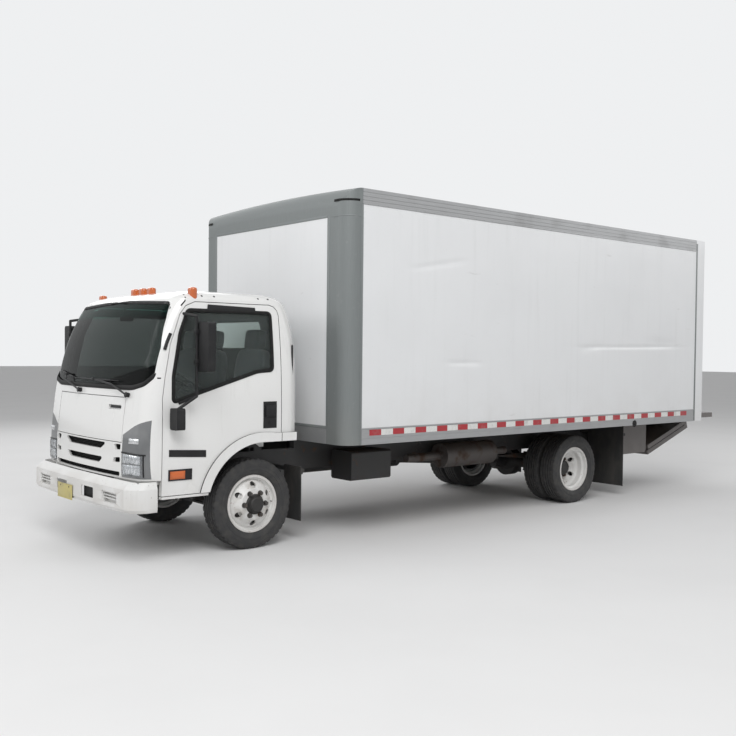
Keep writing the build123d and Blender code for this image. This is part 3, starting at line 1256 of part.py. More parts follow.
bumper_outer = loft([bumper_face(section, 0) for section in BUMPER_SECTIONS], ruled=True)
bumper_inner = loft([bumper_face(section, BUMPER_SHEET) for section in BUMPER_SECTIONS], ruled=True)
bumper = bumper_outer - bumper_inner
bumper -= block(
    (60.0 - BUMPER_HALF_WIDTH, BUMPER_HALF_WIDTH - 60.0),
    (BUMPER_OPEN_Y, 0),
    (below_cab_z, CAB_FRONT_BOTTOM_Z),
)
RECESS_Z = (506.0, 598.0)
TOW_HOLE_X = (160.0, 400.0)
LOUVRE_X = (565.0, 830.0)
LOUVRE_FRAME = 8.0
LOUVRE_FACE_Y = -FRONT_OVERHANG + 28.0
LOUVRE_BACK_Y = LOUVRE_FACE_Y + 32.0
LOUVRE_LEVELS = (535.0, 560.0, 585.0)
recesses = []
for low_x, high_x in (TOW_HOLE_X, LOUVRE_X):
    outline = [(low_x, RECESS_Z[0]), (high_x, RECESS_Z[0]), (high_x, RECESS_Z[1]), (low_x, RECESS_Z[1])]
    recesses.append(front_prism(outline, (ahead_of_cab_y, BUMPER_OPEN_Y), 14.0))
bumper -= both_sides(recesses[0] + recesses[1])
frame_x = (LOUVRE_X[0] - LOUVRE_FRAME, LOUVRE_X[1] + LOUVRE_FRAME)
frame_z = (RECESS_Z[0] - LOUVRE_FRAME, RECESS_Z[1] + LOUVRE_FRAME)
louvre_box = block(frame_x, (-FRONT_OVERHANG, LOUVRE_BACK_Y + LOUVRE_FRAME), frame_z) & bumper_outer
louvre_box -= block(LOUVRE_X, (ahead_of_cab_y, LOUVRE_BACK_Y), RECESS_Z)
for level in LOUVRE_LEVELS:
    louvre_box += block(LOUVRE_X, (LOUVRE_FACE_Y, LOUVRE_BACK_Y), (level, level + LOUVRE_FRAME))
bumper += both_sides(louvre_box)
BRACKET_Z = (485.0, 585.0)
bracket = side_prism(
    [
        (RAIL_FRONT_Y + 150.0, RAIL_BOTTOM_Z),
        (RAIL_FRONT_Y, RAIL_BOTTOM_Z),
        (RAIL_FRONT_Y - 100.0, BRACKET_Z[1]),
        (-FRONT_OVERHANG + 2.0, BRACKET_Z[1]),
        (-FRONT_OVERHANG + 2.0, BRACKET_Z[0]),
        (RAIL_FRONT_Y - 100.0, BRACKET_Z[0]),
        (RAIL_FRONT_Y + 150.0, RAIL_BOTTOM_Z - 40.0),
    ],
    (RAIL_OUTER_X - 16.0, RAIL_OUTER_X - 2.0),
)
behind_face = block((0, BUMPER_HALF_WIDTH), (BUMPER_BACK_Y, 0), (below_cab_z, CAB_FRONT_BOTTOM_Z))
bumper += both_sides(bracket & (bumper_outer + behind_face))
save("front_bumper", bumper)

# Mud flaps on bars from the rails, behind the front and the twin wheels
Flap = namedtuple("Flap", "y inner_x outer_x bottom_z top_z")
FLAPS = [
    Flap(530.0, 650.0, 920.0, 190.0, 700.0),
    Flap(REAR_AXLE_Y + 900.0, 560.0, 1100.0, 130.0, SILL_BOTTOM_Z - 4.0),
]
FLAP_BAR = 34.0
flaps = []
for flap in FLAPS:
    sheet = block((flap.inner_x, flap.outer_x), (flap.y, flap.y + FLAP_THICKNESS), (flap.bottom_z, flap.top_z))
    bar_z = min(flap.top_z, RAIL_TOP_Z) - 40.0
    bar = block(
        (RAIL_OUTER_X, flap.outer_x),
        (flap.y + FLAP_THICKNESS, flap.y + FLAP_THICKNESS + FLAP_BAR),
        (bar_z - FLAP_BAR / 2, bar_z + FLAP_BAR / 2),
    )
    flaps += [sheet + bar, mirror(sheet + bar, Plane.YZ)]
save("mud_flaps", Compound([solid for flap in flaps for solid in flap.solids()]))

# Liftgate: hanger plates, pump box and rear step on the truck, then the arms and the folded platform
GATE_PIVOT_Y = BOX_REAR_Y - 1137.0
GATE_PIVOT_Z = 700.0
GATE_TIP_Y = GATE_PIVOT_Y + 840.0
GATE_TIP_Z = 850.0
GATE_ARM_X = 500.0
GATE_ARM_WIDTH = 40.0
GATE_EYE_RADIUS = 45.0
GATE_PIN_RADIUS = 20.0
GATE_PLATE = 18.0
STEP_HALF_WIDTH = 1270.0
STEP_REAR_Y = WHEELBASE + REAR_OVERHANG
STEP_TOP_Z = FLOOR_TOP_Z - 40.0
STEP_THICKNESS = 60.0
mount_plate = side_prism(
    [
        (GATE_PIVOT_Y - 160.0, RAIL_TOP_Z),
        (GATE_PIVOT_Y + 160.0, RAIL_TOP_Z),
        (GATE_PIVOT_Y + 60.0, GATE_PIVOT_Z - 70.0),
        (GATE_PIVOT_Y - 60.0, GATE_PIVOT_Z - 70.0),
    ],
    (RAIL_OUTER_X, RAIL_OUTER_X + GATE_PLATE),
    20.0,
)
gate_pin = rod(
    (RAIL_OUTER_X, GATE_PIVOT_Y, GATE_PIVOT_Z),
    (GATE_ARM_X + GATE_ARM_WIDTH + 8.0, GATE_PIVOT_Y, GATE_PIVOT_Z),
    GATE_PIN_RADIUS,
)
pump_box = block((600.0, 1000.0), (GATE_PIVOT_Y - 240.0, GATE_PIVOT_Y + 300.0), (510.0, SILL_BOTTOM_Z))
pump_box = chamfer(pump_box.edges().filter_by(Axis.X).group_by(Axis.Z)[0], 30.0)
STEP_SHEET = 8.0
STEP_RIB_COUNT = 5
STEP_RIB_WIDTH = 10.0
step_z = (STEP_TOP_Z - STEP_THICKNESS, STEP_TOP_Z)
step_y = (BOX_REAR_Y, STEP_REAR_Y)
step = block((-STEP_HALF_WIDTH, STEP_HALF_WIDTH), step_y, step_z)
step -= block(
    (STEP_SHEET - STEP_HALF_WIDTH, STEP_HALF_WIDTH - STEP_SHEET),
    (BOX_REAR_Y, STEP_REAR_Y - STEP_SHEET),
    (STEP_TOP_Z - STEP_THICKNESS, STEP_TOP_Z - STEP_SHEET),
)
outer_rib_x = STEP_HALF_WIDTH - 320.0
for count in range(STEP_RIB_COUNT):
    x = -outer_rib_x + count * 2 * outer_rib_x / (STEP_RIB_COUNT - 1)
    step += block((x - STEP_RIB_WIDTH / 2, x + STEP_RIB_WIDTH / 2), step_y, step_z)
gate_mount = Compound([*both_sides(mount_plate + gate_pin).solids(), *pump_box.solids(), *step.solids()])
save("liftgate_mount", gate_mount)

arm_angle = math.atan2(GATE_TIP_Z - GATE_PIVOT_Z, GATE_TIP_Y - GATE_PIVOT_Y)
arm_length = math.hypot(GATE_TIP_Z - GATE_PIVOT_Z, GATE_TIP_Y - GATE_PIVOT_Y)
arm_plane = Plane(
    origin=(GATE_ARM_X, GATE_PIVOT_Y, GATE_PIVOT_Z),
    x_dir=(0, math.cos(arm_angle), math.sin(arm_angle)),
    z_dir=(1, 0, 0),
)
arm_outline = Pos(arm_length / 2, 0) * SlotCenterToCenter(arm_length, 2 * GATE_EYE_RADIUS)
arm_outline -= Circle(GATE_PIN_RADIUS + RUNNING_GAP)
arm_outline -= Pos(arm_length, 0) * Circle(GATE_PIN_RADIUS + RUNNING_GAP)
gate_arm = extrude(arm_plane * arm_outline, GATE_ARM_WIDTH)
TIE_SHARE = 0.45
TIE_RADIUS = 30.0
tie_y = GATE_PIVOT_Y + TIE_SHARE * (GATE_TIP_Y - GATE_PIVOT_Y)
tie_z = GATE_PIVOT_Z + TIE_SHARE * (GATE_TIP_Z - GATE_PIVOT_Z)
tie = rod((-GATE_ARM_X - 1.0, tie_y, tie_z), (GATE_ARM_X + 1.0, tie_y, tie_z), TIE_RADIUS)
gate_arms = both_sides(gate_arm) + tie
save("liftgate_arms", gate_arms)

PLATFORM_HALF_WIDTH = 1000.0
PLATFORM_FRONT = (BOX_REAR_Y - 781.0, 473.0)
PLATFORM_SLOPE = math.radians(18.5)
PLATFORM_LENGTH = 985.0
LEAF_DEPTH = 56.0
LEAF_GAP = 10.0
along = Vector(0, math.cos(PLATFORM_SLOPE), math.sin(PLATFORM_SLOPE))
platform_plane = Plane(origin=(0, *PLATFORM_FRONT), x_dir=along, z_dir=(1, 0, 0))


def platform_block(run, rise, half_width):
    """A block on the folded platform, measured along it and up from its underside."""
    centre = Pos((run[0] + run[1]) / 2, (rise[0] + rise[1]) / 2)
    outline = centre * Rectangle(run[1] - run[0], rise[1] - rise[0])
    return extrude(platform_plane * outline, half_width, both=True)


leaf_low = platform_block((0, PLATFORM_LENGTH), (0, LEAF_DEPTH), PLATFORM_HALF_WIDTH)
upper_low = LEAF_DEPTH + LEAF_GAP
leaf_high = platform_block((30.0, PLATFORM_LENGTH), (upper_low, upper_low + LEAF_DEPTH), PLATFORM_HALF_WIDTH)
fold_run = (PLATFORM_LENGTH - 60.0, PLATFORM_LENGTH)
fold = platform_block(fold_run, (LEAF_DEPTH - 4.0, upper_low + 4.0), PLATFORM_HALF_WIDTH)
platform = leaf_low + leaf_high + fold
EAR_THICKNESS = 16.0
EAR_CLEARANCE = 6.0
inner_ear_x = GATE_ARM_X - EAR_CLEARANCE - EAR_THICKNESS
outer_ear_x = GATE_ARM_X + GATE_ARM_WIDTH + EAR_CLEARANCE
for x in (inner_ear_x, outer_ear_x):
    ear = side_prism(
        [
            (GATE_TIP_Y - 120.0, GATE_TIP_Z - 170.0),
            (GATE_TIP_Y - 30.0, GATE_TIP_Z + 34.0),
            (GATE_TIP_Y + 30.0, GATE_TIP_Z + 34.0),
            (GATE_TIP_Y + 160.0, GATE_TIP_Z - 70.0),
        ],
        (x, x + EAR_THICKNESS),
    )
    platform += both_sides(ear)
tip_pin = rod(
    (inner_ear_x, GATE_TIP_Y, GATE_TIP_Z),
    (outer_ear_x + EAR_THICKNESS, GATE_TIP_Y, GATE_TIP_Z),
    GATE_PIN_RADIUS,
)
platform += both_sides(tip_pin)
save("liftgate_platform", platform)
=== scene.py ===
import math

import bpy
import bmesh
from mathutils import Matrix, Vector
from mathutils.bvhtree import BVHTree


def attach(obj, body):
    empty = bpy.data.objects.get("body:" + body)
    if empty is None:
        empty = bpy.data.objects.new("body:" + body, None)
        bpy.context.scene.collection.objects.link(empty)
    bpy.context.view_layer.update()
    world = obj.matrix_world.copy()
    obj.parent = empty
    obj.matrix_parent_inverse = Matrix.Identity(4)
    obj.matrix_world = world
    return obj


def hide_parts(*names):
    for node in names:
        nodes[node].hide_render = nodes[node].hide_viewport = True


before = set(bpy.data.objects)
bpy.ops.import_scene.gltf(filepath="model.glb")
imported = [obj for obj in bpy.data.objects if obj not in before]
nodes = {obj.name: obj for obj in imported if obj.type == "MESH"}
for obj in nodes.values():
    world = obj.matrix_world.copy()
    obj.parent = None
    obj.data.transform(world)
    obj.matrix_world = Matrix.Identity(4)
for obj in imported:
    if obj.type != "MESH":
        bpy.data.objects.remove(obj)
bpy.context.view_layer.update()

# Metres. The truck faces -Y, +X is its left side, +Z is up and the ground is at 0.
FRONT_AXLE_Y = -2.9465
REAR_AXLE_Y = 1.5235
AXLE_Z = 0.4055
TAU = math.tau
LEFT = Vector((1, 0, 0))
FORWARD = Vector((0, -1, 0))
BACKWARD = Vector((0, 1, 0))
SIDES = (("left", 1), ("right", -1))


def at(front_axle_y):
    """A Y measured back from the front axle, in the frame."""
    return FRONT_AXLE_Y + front_axle_y


# Camera, solved for the photo's own view
PHOTO_PIXELS = 736.0
CAMERA_PLACE = Vector((7.952, -7.4898, 1.772))
CAMERA_YAW = math.radians(50.08)
CAMERA_PITCH = math.radians(-1.63)
CAMERA_ROLL = math.radians(0.57)
FOCAL_PIXELS = 928.2
CENTRE_DOWN_PIXELS = 379.05 - PHOTO_PIXELS / 2
SENSOR_WIDTH = 36.0


def make_camera():
    forward = Vector((
        -math.sin(CAMERA_YAW) * math.cos(CAMERA_PITCH),
        math.cos(CAMERA_YAW) * math.cos(CAMERA_PITCH),
        math.sin(CAMERA_PITCH),
    ))
    level = Vector((math.cos(CAMERA_YAW), math.sin(CAMERA_YAW), 0))
    upright = level.cross(forward)
    right = math.cos(CAMERA_ROLL) * level + math.sin(CAMERA_ROLL) * upright
    up = -math.sin(CAMERA_ROLL) * level + math.cos(CAMERA_ROLL) * upright
    data = bpy.data.cameras.new("camera")
    data.sensor_width = SENSOR_WIDTH
    data.lens = FOCAL_PIXELS / PHOTO_PIXELS * SENSOR_WIDTH
    data.shift_y = CENTRE_DOWN_PIXELS / PHOTO_PIXELS
    data.clip_end = 200.0
    camera = bpy.data.objects.new("camera", data)
    rotation = Matrix((right, up, -forward)).transposed().to_4x4()
    camera.matrix_world = Matrix.Translation(CAMERA_PLACE) @ rotation
    bpy.context.scene.collection.objects.link(camera)
    bpy.context.scene.camera = camera


make_camera()

# Materials
DUST = (0.42, 0.38, 0.33)
NOISE_ROUGHNESS = 0.55
# Sockets of a colour mix
MIX_FACTOR, MIX_UNDER, MIX_OVER, MIX_RESULT = 0, 6, 7, 2


class Paint:
    """A node material that is built up from noises, masks and mixes."""

    def __init__(self, name, color, roughness=0.5, metallic=0.0):
        self.material = bpy.data.materials.new(name)
        self.material.use_nodes = True
        self.tree = self.material.node_tree
        self.shader = self.tree.nodes["Principled BSDF"]
        self.shader.inputs["Metallic"].default_value = metallic
        self.place = self.node("ShaderNodeTexCoord").outputs["Object"]
        self.color = self.constant("ShaderNodeRGB", (*color, 1.0))
        self.roughness = self.constant("ShaderNodeValue", roughness)
        self.height = None

    def node(self, kind, **settings):
        made = self.tree.nodes.new(kind)
        for key, value in settings.items():
            setattr(made, key, value)
        return made

    def link(self, source, target):
        self.tree.links.new(source, target)

    def constant(self, kind, value):
        made = self.node(kind)
        made.outputs[0].default_value = value
        return made.outputs[0]

    def math(self, operation, first, second=0.0, clamp=False):
        made = self.node("ShaderNodeMath", operation=operation, use_clamp=clamp)
        for socket, value in zip(made.inputs, (first, second)):
            if isinstance(value, (int, float)):
                socket.default_value = value
            else:
                self.link(value, socket)
        return made.outputs[0]

    def texture(self, kind, scale, stretch=(1, 1, 1), **settings):
        made = self.node(kind, **settings)
        mapping = self.node("ShaderNodeMapping")
        self.link(self.place, mapping.inputs["Vector"])
        mapping.inputs["Scale"].default_value = stretch
        self.link(mapping.outputs[0], made.inputs["Vector"])
        made.inputs["Scale"].default_value = scale
        return made

    def noise(self, scale, detail=4.0, stretch=(1, 1, 1)):
        made = self.texture("ShaderNodeTexNoise", scale, stretch)
        made.inputs["Detail"].default_value = detail
        made.inputs["Roughness"].default_value = NOISE_ROUGHNESS
        return made.outputs["Fac"]

    def cells(self, scale, stretch=(1, 1, 1)):
        return self.texture("ShaderNodeTexVoronoi", scale, stretch).outputs["Distance"]

    def wave(self, scale, direction, **settings):
        made = self.texture("ShaderNodeTexWave", scale, bands_direction=direction, **settings)
        return made.outputs["Fac"]

    def axis(self, name):
        made = self.node("ShaderNodeSeparateXYZ")
        self.link(self.place, made.inputs[0])
        return made.outputs[name]

    def between(self, value, low, high):
        """0 at low and 1 at high, with a smooth way between."""
        made = self.node("ShaderNodeMapRange", interpolation_type="SMOOTHSTEP")
        self.link(value, made.inputs["Value"])
        made.inputs["From Min"].default_value = low
        made.inputs["From Max"].default_value = high
        return made.outputs["Result"]

    def reach(self, y, z):
        """Distance from a line along X."""
        across = self.math("SUBTRACT", self.axis("Y"), y)
        up = self.math("SUBTRACT", self.axis("Z"), z)
        square = self.math("MULTIPLY", across, across)
        square = self.math("ADD", square, self.math("MULTIPLY", up, up))
        return self.math("SQRT", square)

    def below(self, value, limit):
        return self.math("LESS_THAN", value, limit)

    def facing(self, centre):
        """1 on surfaces that face a point inside."""
        away = self.node("ShaderNodeVectorMath", operation="SUBTRACT")
        self.link(self.place, away.inputs[0])
        away.inputs[1].default_value = centre
        along = self.node("ShaderNodeVectorMath", operation="DOT_PRODUCT")
        self.link(away.outputs["Vector"], along.inputs[0])
        self.link(self.node("ShaderNodeTexCoord").outputs["Normal"], along.inputs[1])
        return self.below(along.outputs["Value"], 0.0)

    def tint(self, mask, color, amount=1.0):
        """Mixes a colour in where the mask is 1."""
        made = self.node("ShaderNodeMix", data_type="RGBA")
        self.link(self.math("MULTIPLY", mask, amount), made.inputs[MIX_FACTOR])
        self.link(self.color, made.inputs[MIX_UNDER])
        made.inputs[MIX_OVER].default_value = (*color, 1.0)
        self.color = made.outputs[MIX_RESULT]
        return self

    def rougher(self, mask, amount):
        more = self.math("MULTIPLY", mask, amount)
        self.roughness = self.math("ADD", self.roughness, more, clamp=True)
        return self

    def raised(self, height, amount=1.0):
        part = self.math("MULTIPLY", height, amount)
        self.height = part if self.height is None else self.math("ADD", self.height, part)
        return self

    def layer(self, pattern, span, color, amount, rough=0.0):
        """A colour laid over where a noise passes its span."""
        mask = self.between(self.noise(*pattern), *span)
        self.tint(mask, color, amount)
        return self.rougher(mask, rough) if rough else self

    def grain(self, pattern, amount):
        return self.raised(self.noise(*pattern), amount)

    def wear(self, low, high, color, amount):
        """A colour along outer edges."""
        edges = self.node("ShaderNodeNewGeometry").outputs["Pointiness"]
        return self.tint(self.between(edges, low, high), color, amount)

    def dust(self, top, amount, color=DUST, scale=3.0):
        """Dust that thins out upwards to the given height."""
        low = self.between(self.axis("Z"), top, 0.15)
        spread = self.between(self.noise(scale, 6.0), 0.25, 0.75)
        mask = self.math("MULTIPLY", low, spread)
        return self.tint(mask, color, amount).rougher(mask, 0.3)

    def finish(self, distance=0.001, strength=0.5, **sockets):
        for name, value in sockets.items():
            self.shader.inputs[name.replace("_", " ")].default_value = value
        self.link(self.color, self.shader.inputs["Base Color"])
        self.link(self.roughness, self.shader.inputs["Roughness"])
        if self.height is not None:
            bump = self.node("ShaderNodeBump")
            bump.inputs["Distance"].default_value = distance
            bump.inputs["Strength"].default_value = strength
            self.link(self.height, bump.inputs["Height"])
            self.link(bump.outputs[0], self.shader.inputs["Normal"])
        return self.material


CAB_CENTRE = (0.0, at(-0.40), 1.65)
ARCH_PLACE = (at(0.030), 0.415)
ARCH_RADIUS = 0.552
ARCH_HALF_WIDTH = 1.03
# Near black for the painted shade inside the arches and the cab, and deep in the grille's slots
PAINTED_SHADE = (0.030, 0.030, 0.031)
GRILLE_FACE = at(-1.178)
GRILLE_BOW = 14.0
FRONT_HUB_FACE, REAR_HUB_FACE = 0.958, 0.837


def cab_paint(name, slotted=False):
    """White enamel with painted shade inside the wheel arches and the cab; the slotted grille version paints
    the shade deep in the grille's slots instead.
    """
    paint = Paint(name, (0.80, 0.80, 0.79), 0.16)
    paint.layer((3.0, 8.0, (6, 6, 0.8)), (0.55, 0.8), (0.62, 0.62, 0.60), 0.35, 0.2)
    paint.layer((60.0, 3.0), (0.62, 0.75), (0.55, 0.54, 0.52), 0.15)
    paint.dust(1.15, 0.30)
    if slotted:
        # Painted shade: surfaces more than 12 mm behind the bowed grille face go near black.
        depth = paint.math("SUBTRACT", paint.axis("Y"), GRILLE_FACE)
        square = paint.math("MULTIPLY", paint.axis("X"), paint.axis("X"))
        bow = paint.math("DIVIDE", square, GRILLE_BOW)
        dark = paint.math("GREATER_THAN", paint.math("SUBTRACT", depth, bow), 0.012)
    else:
        # Painted shade: inside the wheel arches and on every surface that faces into the cab.
        dark = paint.below(paint.reach(*ARCH_PLACE), ARCH_RADIUS + 0.002)
        inside = paint.below(paint.math("ABSOLUTE", paint.axis("X")), ARCH_HALF_WIDTH)
        dark = paint.math("MULTIPLY", dark, inside)
        dark = paint.math("MAXIMUM", dark, paint.facing(CAB_CENTRE))
    paint.tint(dark, PAINTED_SHADE).rougher(dark, 0.5).grain((220.0, 2.0), 0.15)
    return paint.finish(0.0004, 0.25, Coat_Weight=0.3, Coat_Roughness=0.06)


def body_sheet():
    """White prepainted sheet over the box: faint scuffs, dents and rain streaks."""
    paint = Paint("body sheet", (0.79, 0.80, 0.81), 0.34)
    paint.layer((2.2, 7.0, (5, 5, 0.35)), (0.5, 0.85), (0.64, 0.65, 0.65), 0.30, 0.2)
    paint.layer((1.1, 5.0), (0.35, 0.75), (0.74, 0.75, 0.76), 0.5)
    paint.layer((9.0, 8.0, (1, 0.35, 1.6)), (0.69, 0.78), (0.46, 0.45, 0.44), 0.30, 0.3)
    paint.tint(paint.between(paint.cells(26.0), 0.09, 0.05), (0.40, 0.38, 0.36), 0.25)
    paint.dust(1.7, 0.35).grain((1.4, 2.0), 9.0).grain((90.0, 2.0), 0.2)
    return paint.finish(0.0016, 0.5, Coat_Weight=0.15, Coat_Roughness=0.2)


def wheel_paint(name, axle_y, face_x):
    """White painted steel under brake dust and road film, with a black hub and drum."""
    paint = Paint(name, (0.78, 0.775, 0.76), 0.38)
    radius = paint.reach(axle_y, AXLE_Z)
    film = paint.between(paint.noise(9.0, 8.0), 0.35, 0.75)
    disc = paint.between(radius, 0.205, 0.175)
    film = paint.math("MULTIPLY", film, paint.math("ADD", paint.math("MULTIPLY", disc, 0.75), 0.25))
    paint.tint(film, (0.36, 0.33, 0.29), 0.60).rougher(film, 0.25)
    paint.layer((24.0, 8.0), (0.64, 0.72), (0.22, 0.10, 0.05), 0.6)
    paint.wear(0.54, 0.64, (0.24, 0.19, 0.15), 0.4)
    drum = paint.below(paint.math("ABSOLUTE", paint.axis("X")), face_x - 0.055)
    drum = paint.math("MULTIPLY", drum, paint.below(radius, 0.183))
    dark = paint.math("MAXIMUM", drum, paint.below(radius, 0.092))
    paint.tint(dark, (0.022, 0.021, 0.020)).rougher(dark, 0.15).grain((90.0, 4.0), 0.6)
    return paint.finish(0.0007, 0.4)


def dark_trim():
    paint = Paint("dark trim", (0.055, 0.055, 0.060), 0.6)
    paint.layer((5.0, 5.0), (0.4, 0.8), (0.085, 0.083, 0.080), 0.5).raised(paint.cells(420.0))
    return paint.finish(0.0005, 0.5)


def seat_cloth():
    """Woven dark cloth with a faint cross rib."""
    paint = Paint("seat cloth", (0.075, 0.075, 0.085), 0.85)
    threads = paint.math("MULTIPLY", paint.wave(90.0, "X"), paint.wave(90.0, "Z"))
    paint.tint(threads, (0.14, 0.14, 0.16), 0.6).raised(threads)
    return paint.finish(0.0008, 0.6, Sheen_Weight=0.3)


def floor_wood():
    paint = Paint("floor wood", (0.42, 0.30, 0.19), 0.5)
    grain = (6.0, 10.0, (8, 0.5, 8))
    paint.layer(grain, (0.35, 0.7), (0.26, 0.17, 0.10), 0.7)
    seam = paint.between(paint.wave(5.0, "X", wave_profile="SAW"), 0.96, 1.0)
    paint.tint(seam, (0.08, 0.055, 0.035), 0.8).grain(grain, 0.5)
    return paint.finish(0.0008, 0.4)


def glass(name, smear, clear, ior, windshield=False):
    """Thin pale glass. The windshield is darkened to near black as painted shade of the cab behind it, with a
    green band along its top.
    """
    paint = Paint(name, (0.66, 0.72, 0.70), 0.02)
    if windshield:
        # Painted shade: the windshield's glass goes near black for the shaded cab seen through it.
        ahead = paint.below(paint.axis("Y"), at(-0.62))
        paint.tint(ahead, (0.075, 0.085, 0.082))
        band = paint.math("MULTIPLY", ahead, paint.between(paint.axis("Z"), 2.04, 2.09))
        paint.tint(band, (0.03, 0.13, 0.10), 0.9)
    paint.rougher(paint.between(paint.noise(5.0, 6.0), 0.55, 0.8), smear)
    return paint.finish(Transmission_Weight=clear, IOR=ior)


def lens(name, color):
    paint = Paint(name, color, 0.12)
    ribs = paint.wave(40.0, "X")
    paint.tint(ribs, [0.6 * part for part in color], 0.5).raised(ribs)
    return paint.finish(0.0006, 0.4, Coat_Weight=0.6, Coat_Roughness=0.08)


def reflector():
    paint = Paint("reflector", (0.80, 0.81, 0.82), 0.12, 1.0)
    facets = paint.cells(45.0, (1, 1, 0.5))
    paint.tint(paint.between(facets, 0.2, 0.6), (0.5, 0.51, 0.52), 0.6).raised(facets)
    return paint.finish(0.002, 0.5)


def tape(name, color):
    """Reflective tape with a fine diamond emboss and patches of dirt."""
    paint = Paint(name, color, 0.3)
    cells = paint.cells(160.0)
    paint.tint(paint.between(cells, 0.3, 0.6), [0.7 * part for part in color], 0.5)
    paint.layer((12.0, 7.0), (0.5, 0.75), (0.25, 0.22, 0.20), 0.35, 0.2).raised(cells, 0.5)
    return paint.finish(0.0004, 0.4, Coat_Weight=0.3)


MATERIALS, MATERIAL_SLOT = {}, {}


def coat(key, slot, material, names=""):
    """Files a material with its slot under a key, and puts it on CAD nodes."""
    MATERIALS[key] = material
    MATERIAL_SLOT[key] = slot
    for name in names.split():
        mesh = nodes[name].data
        mesh.materials.clear()
        mesh.materials.append(material)


coat("cab", "cab_paint", cab_paint("cab paint"), "cab_shell front_lid door_left door_right")
coat("grille", "cab_paint", cab_paint("grille paint", slotted=True), "grille")
coat("body", "body_white", body_sheet(), "walls_side wall_front body_roof rear_frame roll_up_door")
coat("trim", "dark_trim", dark_trim(), "dashboard steering_wheel")
coat("cloth", "seat_cloth", seat_cloth(), "seats")
coat("wood", "floor_wood", floor_wood(), "load_floor")
coat("glass", "glass", glass("glass", 0.05, 0.95, 1.12, windshield=True), "cab_glass")
coat("door_glass", "glass", glass("door glass", 0.04, 0.96, 1.10), "door_glass_left door_glass_right")
coat("amber", "amber_lens", lens("amber lens", (0.62, 0.13, 0.02)), "roof_lamps")
coat("red", "red_lens", lens("red lens", (0.55, 0.025, 0.02)), "body_lamps")
coat("reflector", "lamp_glass", reflector())
coat("red_tape", "red_lens", tape("red tape", (0.44, 0.022, 0.032)))
coat("white_tape", "body_white", tape("white tape", (0.80, 0.80, 0.78)))
coat(
    "wheel", "wheel_white", wheel_paint("front wheel paint", FRONT_AXLE_Y, FRONT_HUB_FACE),
    "wheel_front_left wheel_front_right",
)
coat(
    "rear_wheel", "wheel_white", wheel_paint("rear wheel paint", REAR_AXLE_Y, REAR_HUB_FACE),
    "wheels_rear_left wheels_rear_right",
)
coat(
    "bumper", "cab_paint", Paint("bumper paint", (0.78, 0.78, 0.77), 0.28)
    .layer((45.0, 6.0), (0.66, 0.7), (0.30, 0.27, 0.24), 0.5).dust(0.75, 0.5)
    .wear(0.53, 0.62, (0.45, 0.42, 0.38), 0.4).grain((150.0, 2.0), 0.3)
    .finish(0.0006, 0.3, Coat_Weight=0.3, Coat_Roughness=0.12), "front_bumper",
)
coat(
    "ribbed", "mill_aluminium", Paint("ribbed aluminium", (0.38, 0.385, 0.39), 0.50, 0.55)
    .layer((14.0, 6.0, (40, 0.4, 40)), (0.45, 0.75), (0.28, 0.28, 0.285), 0.6)
    .layer((3.0, 8.0), (0.5, 0.8), (0.33, 0.33, 0.325), 0.5, 0.2)
    .grain((14.0, 6.0, (40, 0.4, 40)), 0.8).finish(0.0006, 0.5), "top_rails bottom_rails",
)
coat(
    "grey", "body_grey", Paint("satin grey metal", (0.205, 0.222, 0.222), 0.55, 0.25)
    .layer((12.0, 6.0, (30, 30, 0.5)), (0.4, 0.8), (0.150, 0.165, 0.165), 0.5)
    .layer((18.0, 7.0), (0.62, 0.72), (0.30, 0.31, 0.305), 0.35, 0.15)
    .dust(1.4, 0.4).grain((70.0, 3.0), 0.6).finish(0.0006, 0.4), "body_nose",
)
coat(
    "chassis", "chassis_black", Paint("chassis black", (0.030, 0.030, 0.031), 0.5)
    .layer((7.0, 9.0), (0.60, 0.72), (0.13, 0.065, 0.035), 0.6, 0.35)
    .dust(1.0, 0.50, (0.070, 0.064, 0.057), 5.0).grain((60.0, 6.0), 1.0).finish(0.001, 0.5),
    "ladder_frame front_axle rear_axle knuckle_left knuckle_right propeller_shaft fuel_tank "
    "battery_box floor_sills",
)
coat(
    "gate", "gate_black", Paint("gate black", (0.022, 0.022, 0.023), 0.42)
    .wear(0.52, 0.58, (0.22, 0.20, 0.19), 0.6)
    .layer((11.0, 8.0, (0.3, 2, 2)), (0.66, 0.72), (0.20, 0.18, 0.16), 0.6, 0.3)
    .dust(1.0, 0.35, (0.055, 0.050, 0.045), 5.0).grain((80.0, 5.0), 0.8).finish(0.0008, 0.5),
    "liftgate_mount liftgate_arms liftgate_platform",
)
coat(
    "steel", "spring_steel", Paint("dark steel", (0.10, 0.095, 0.09), 0.55, 0.6)
    .layer((9.0, 9.0), (0.5, 0.7), (0.17, 0.085, 0.045), 0.7, 0.3)
    .grain((50.0, 6.0), 1.0).finish(0.001, 0.6), "leaf_springs",
)
coat(
    "cast", "cast_metal", Paint("cast metal", (0.16, 0.16, 0.16), 0.6, 0.5)
    .layer((4.0, 8.0), (0.5, 0.7), (0.035, 0.032, 0.03), 0.75)
    .grain((120.0, 5.0), 1.0).finish(0.001, 0.7), "engine",
)
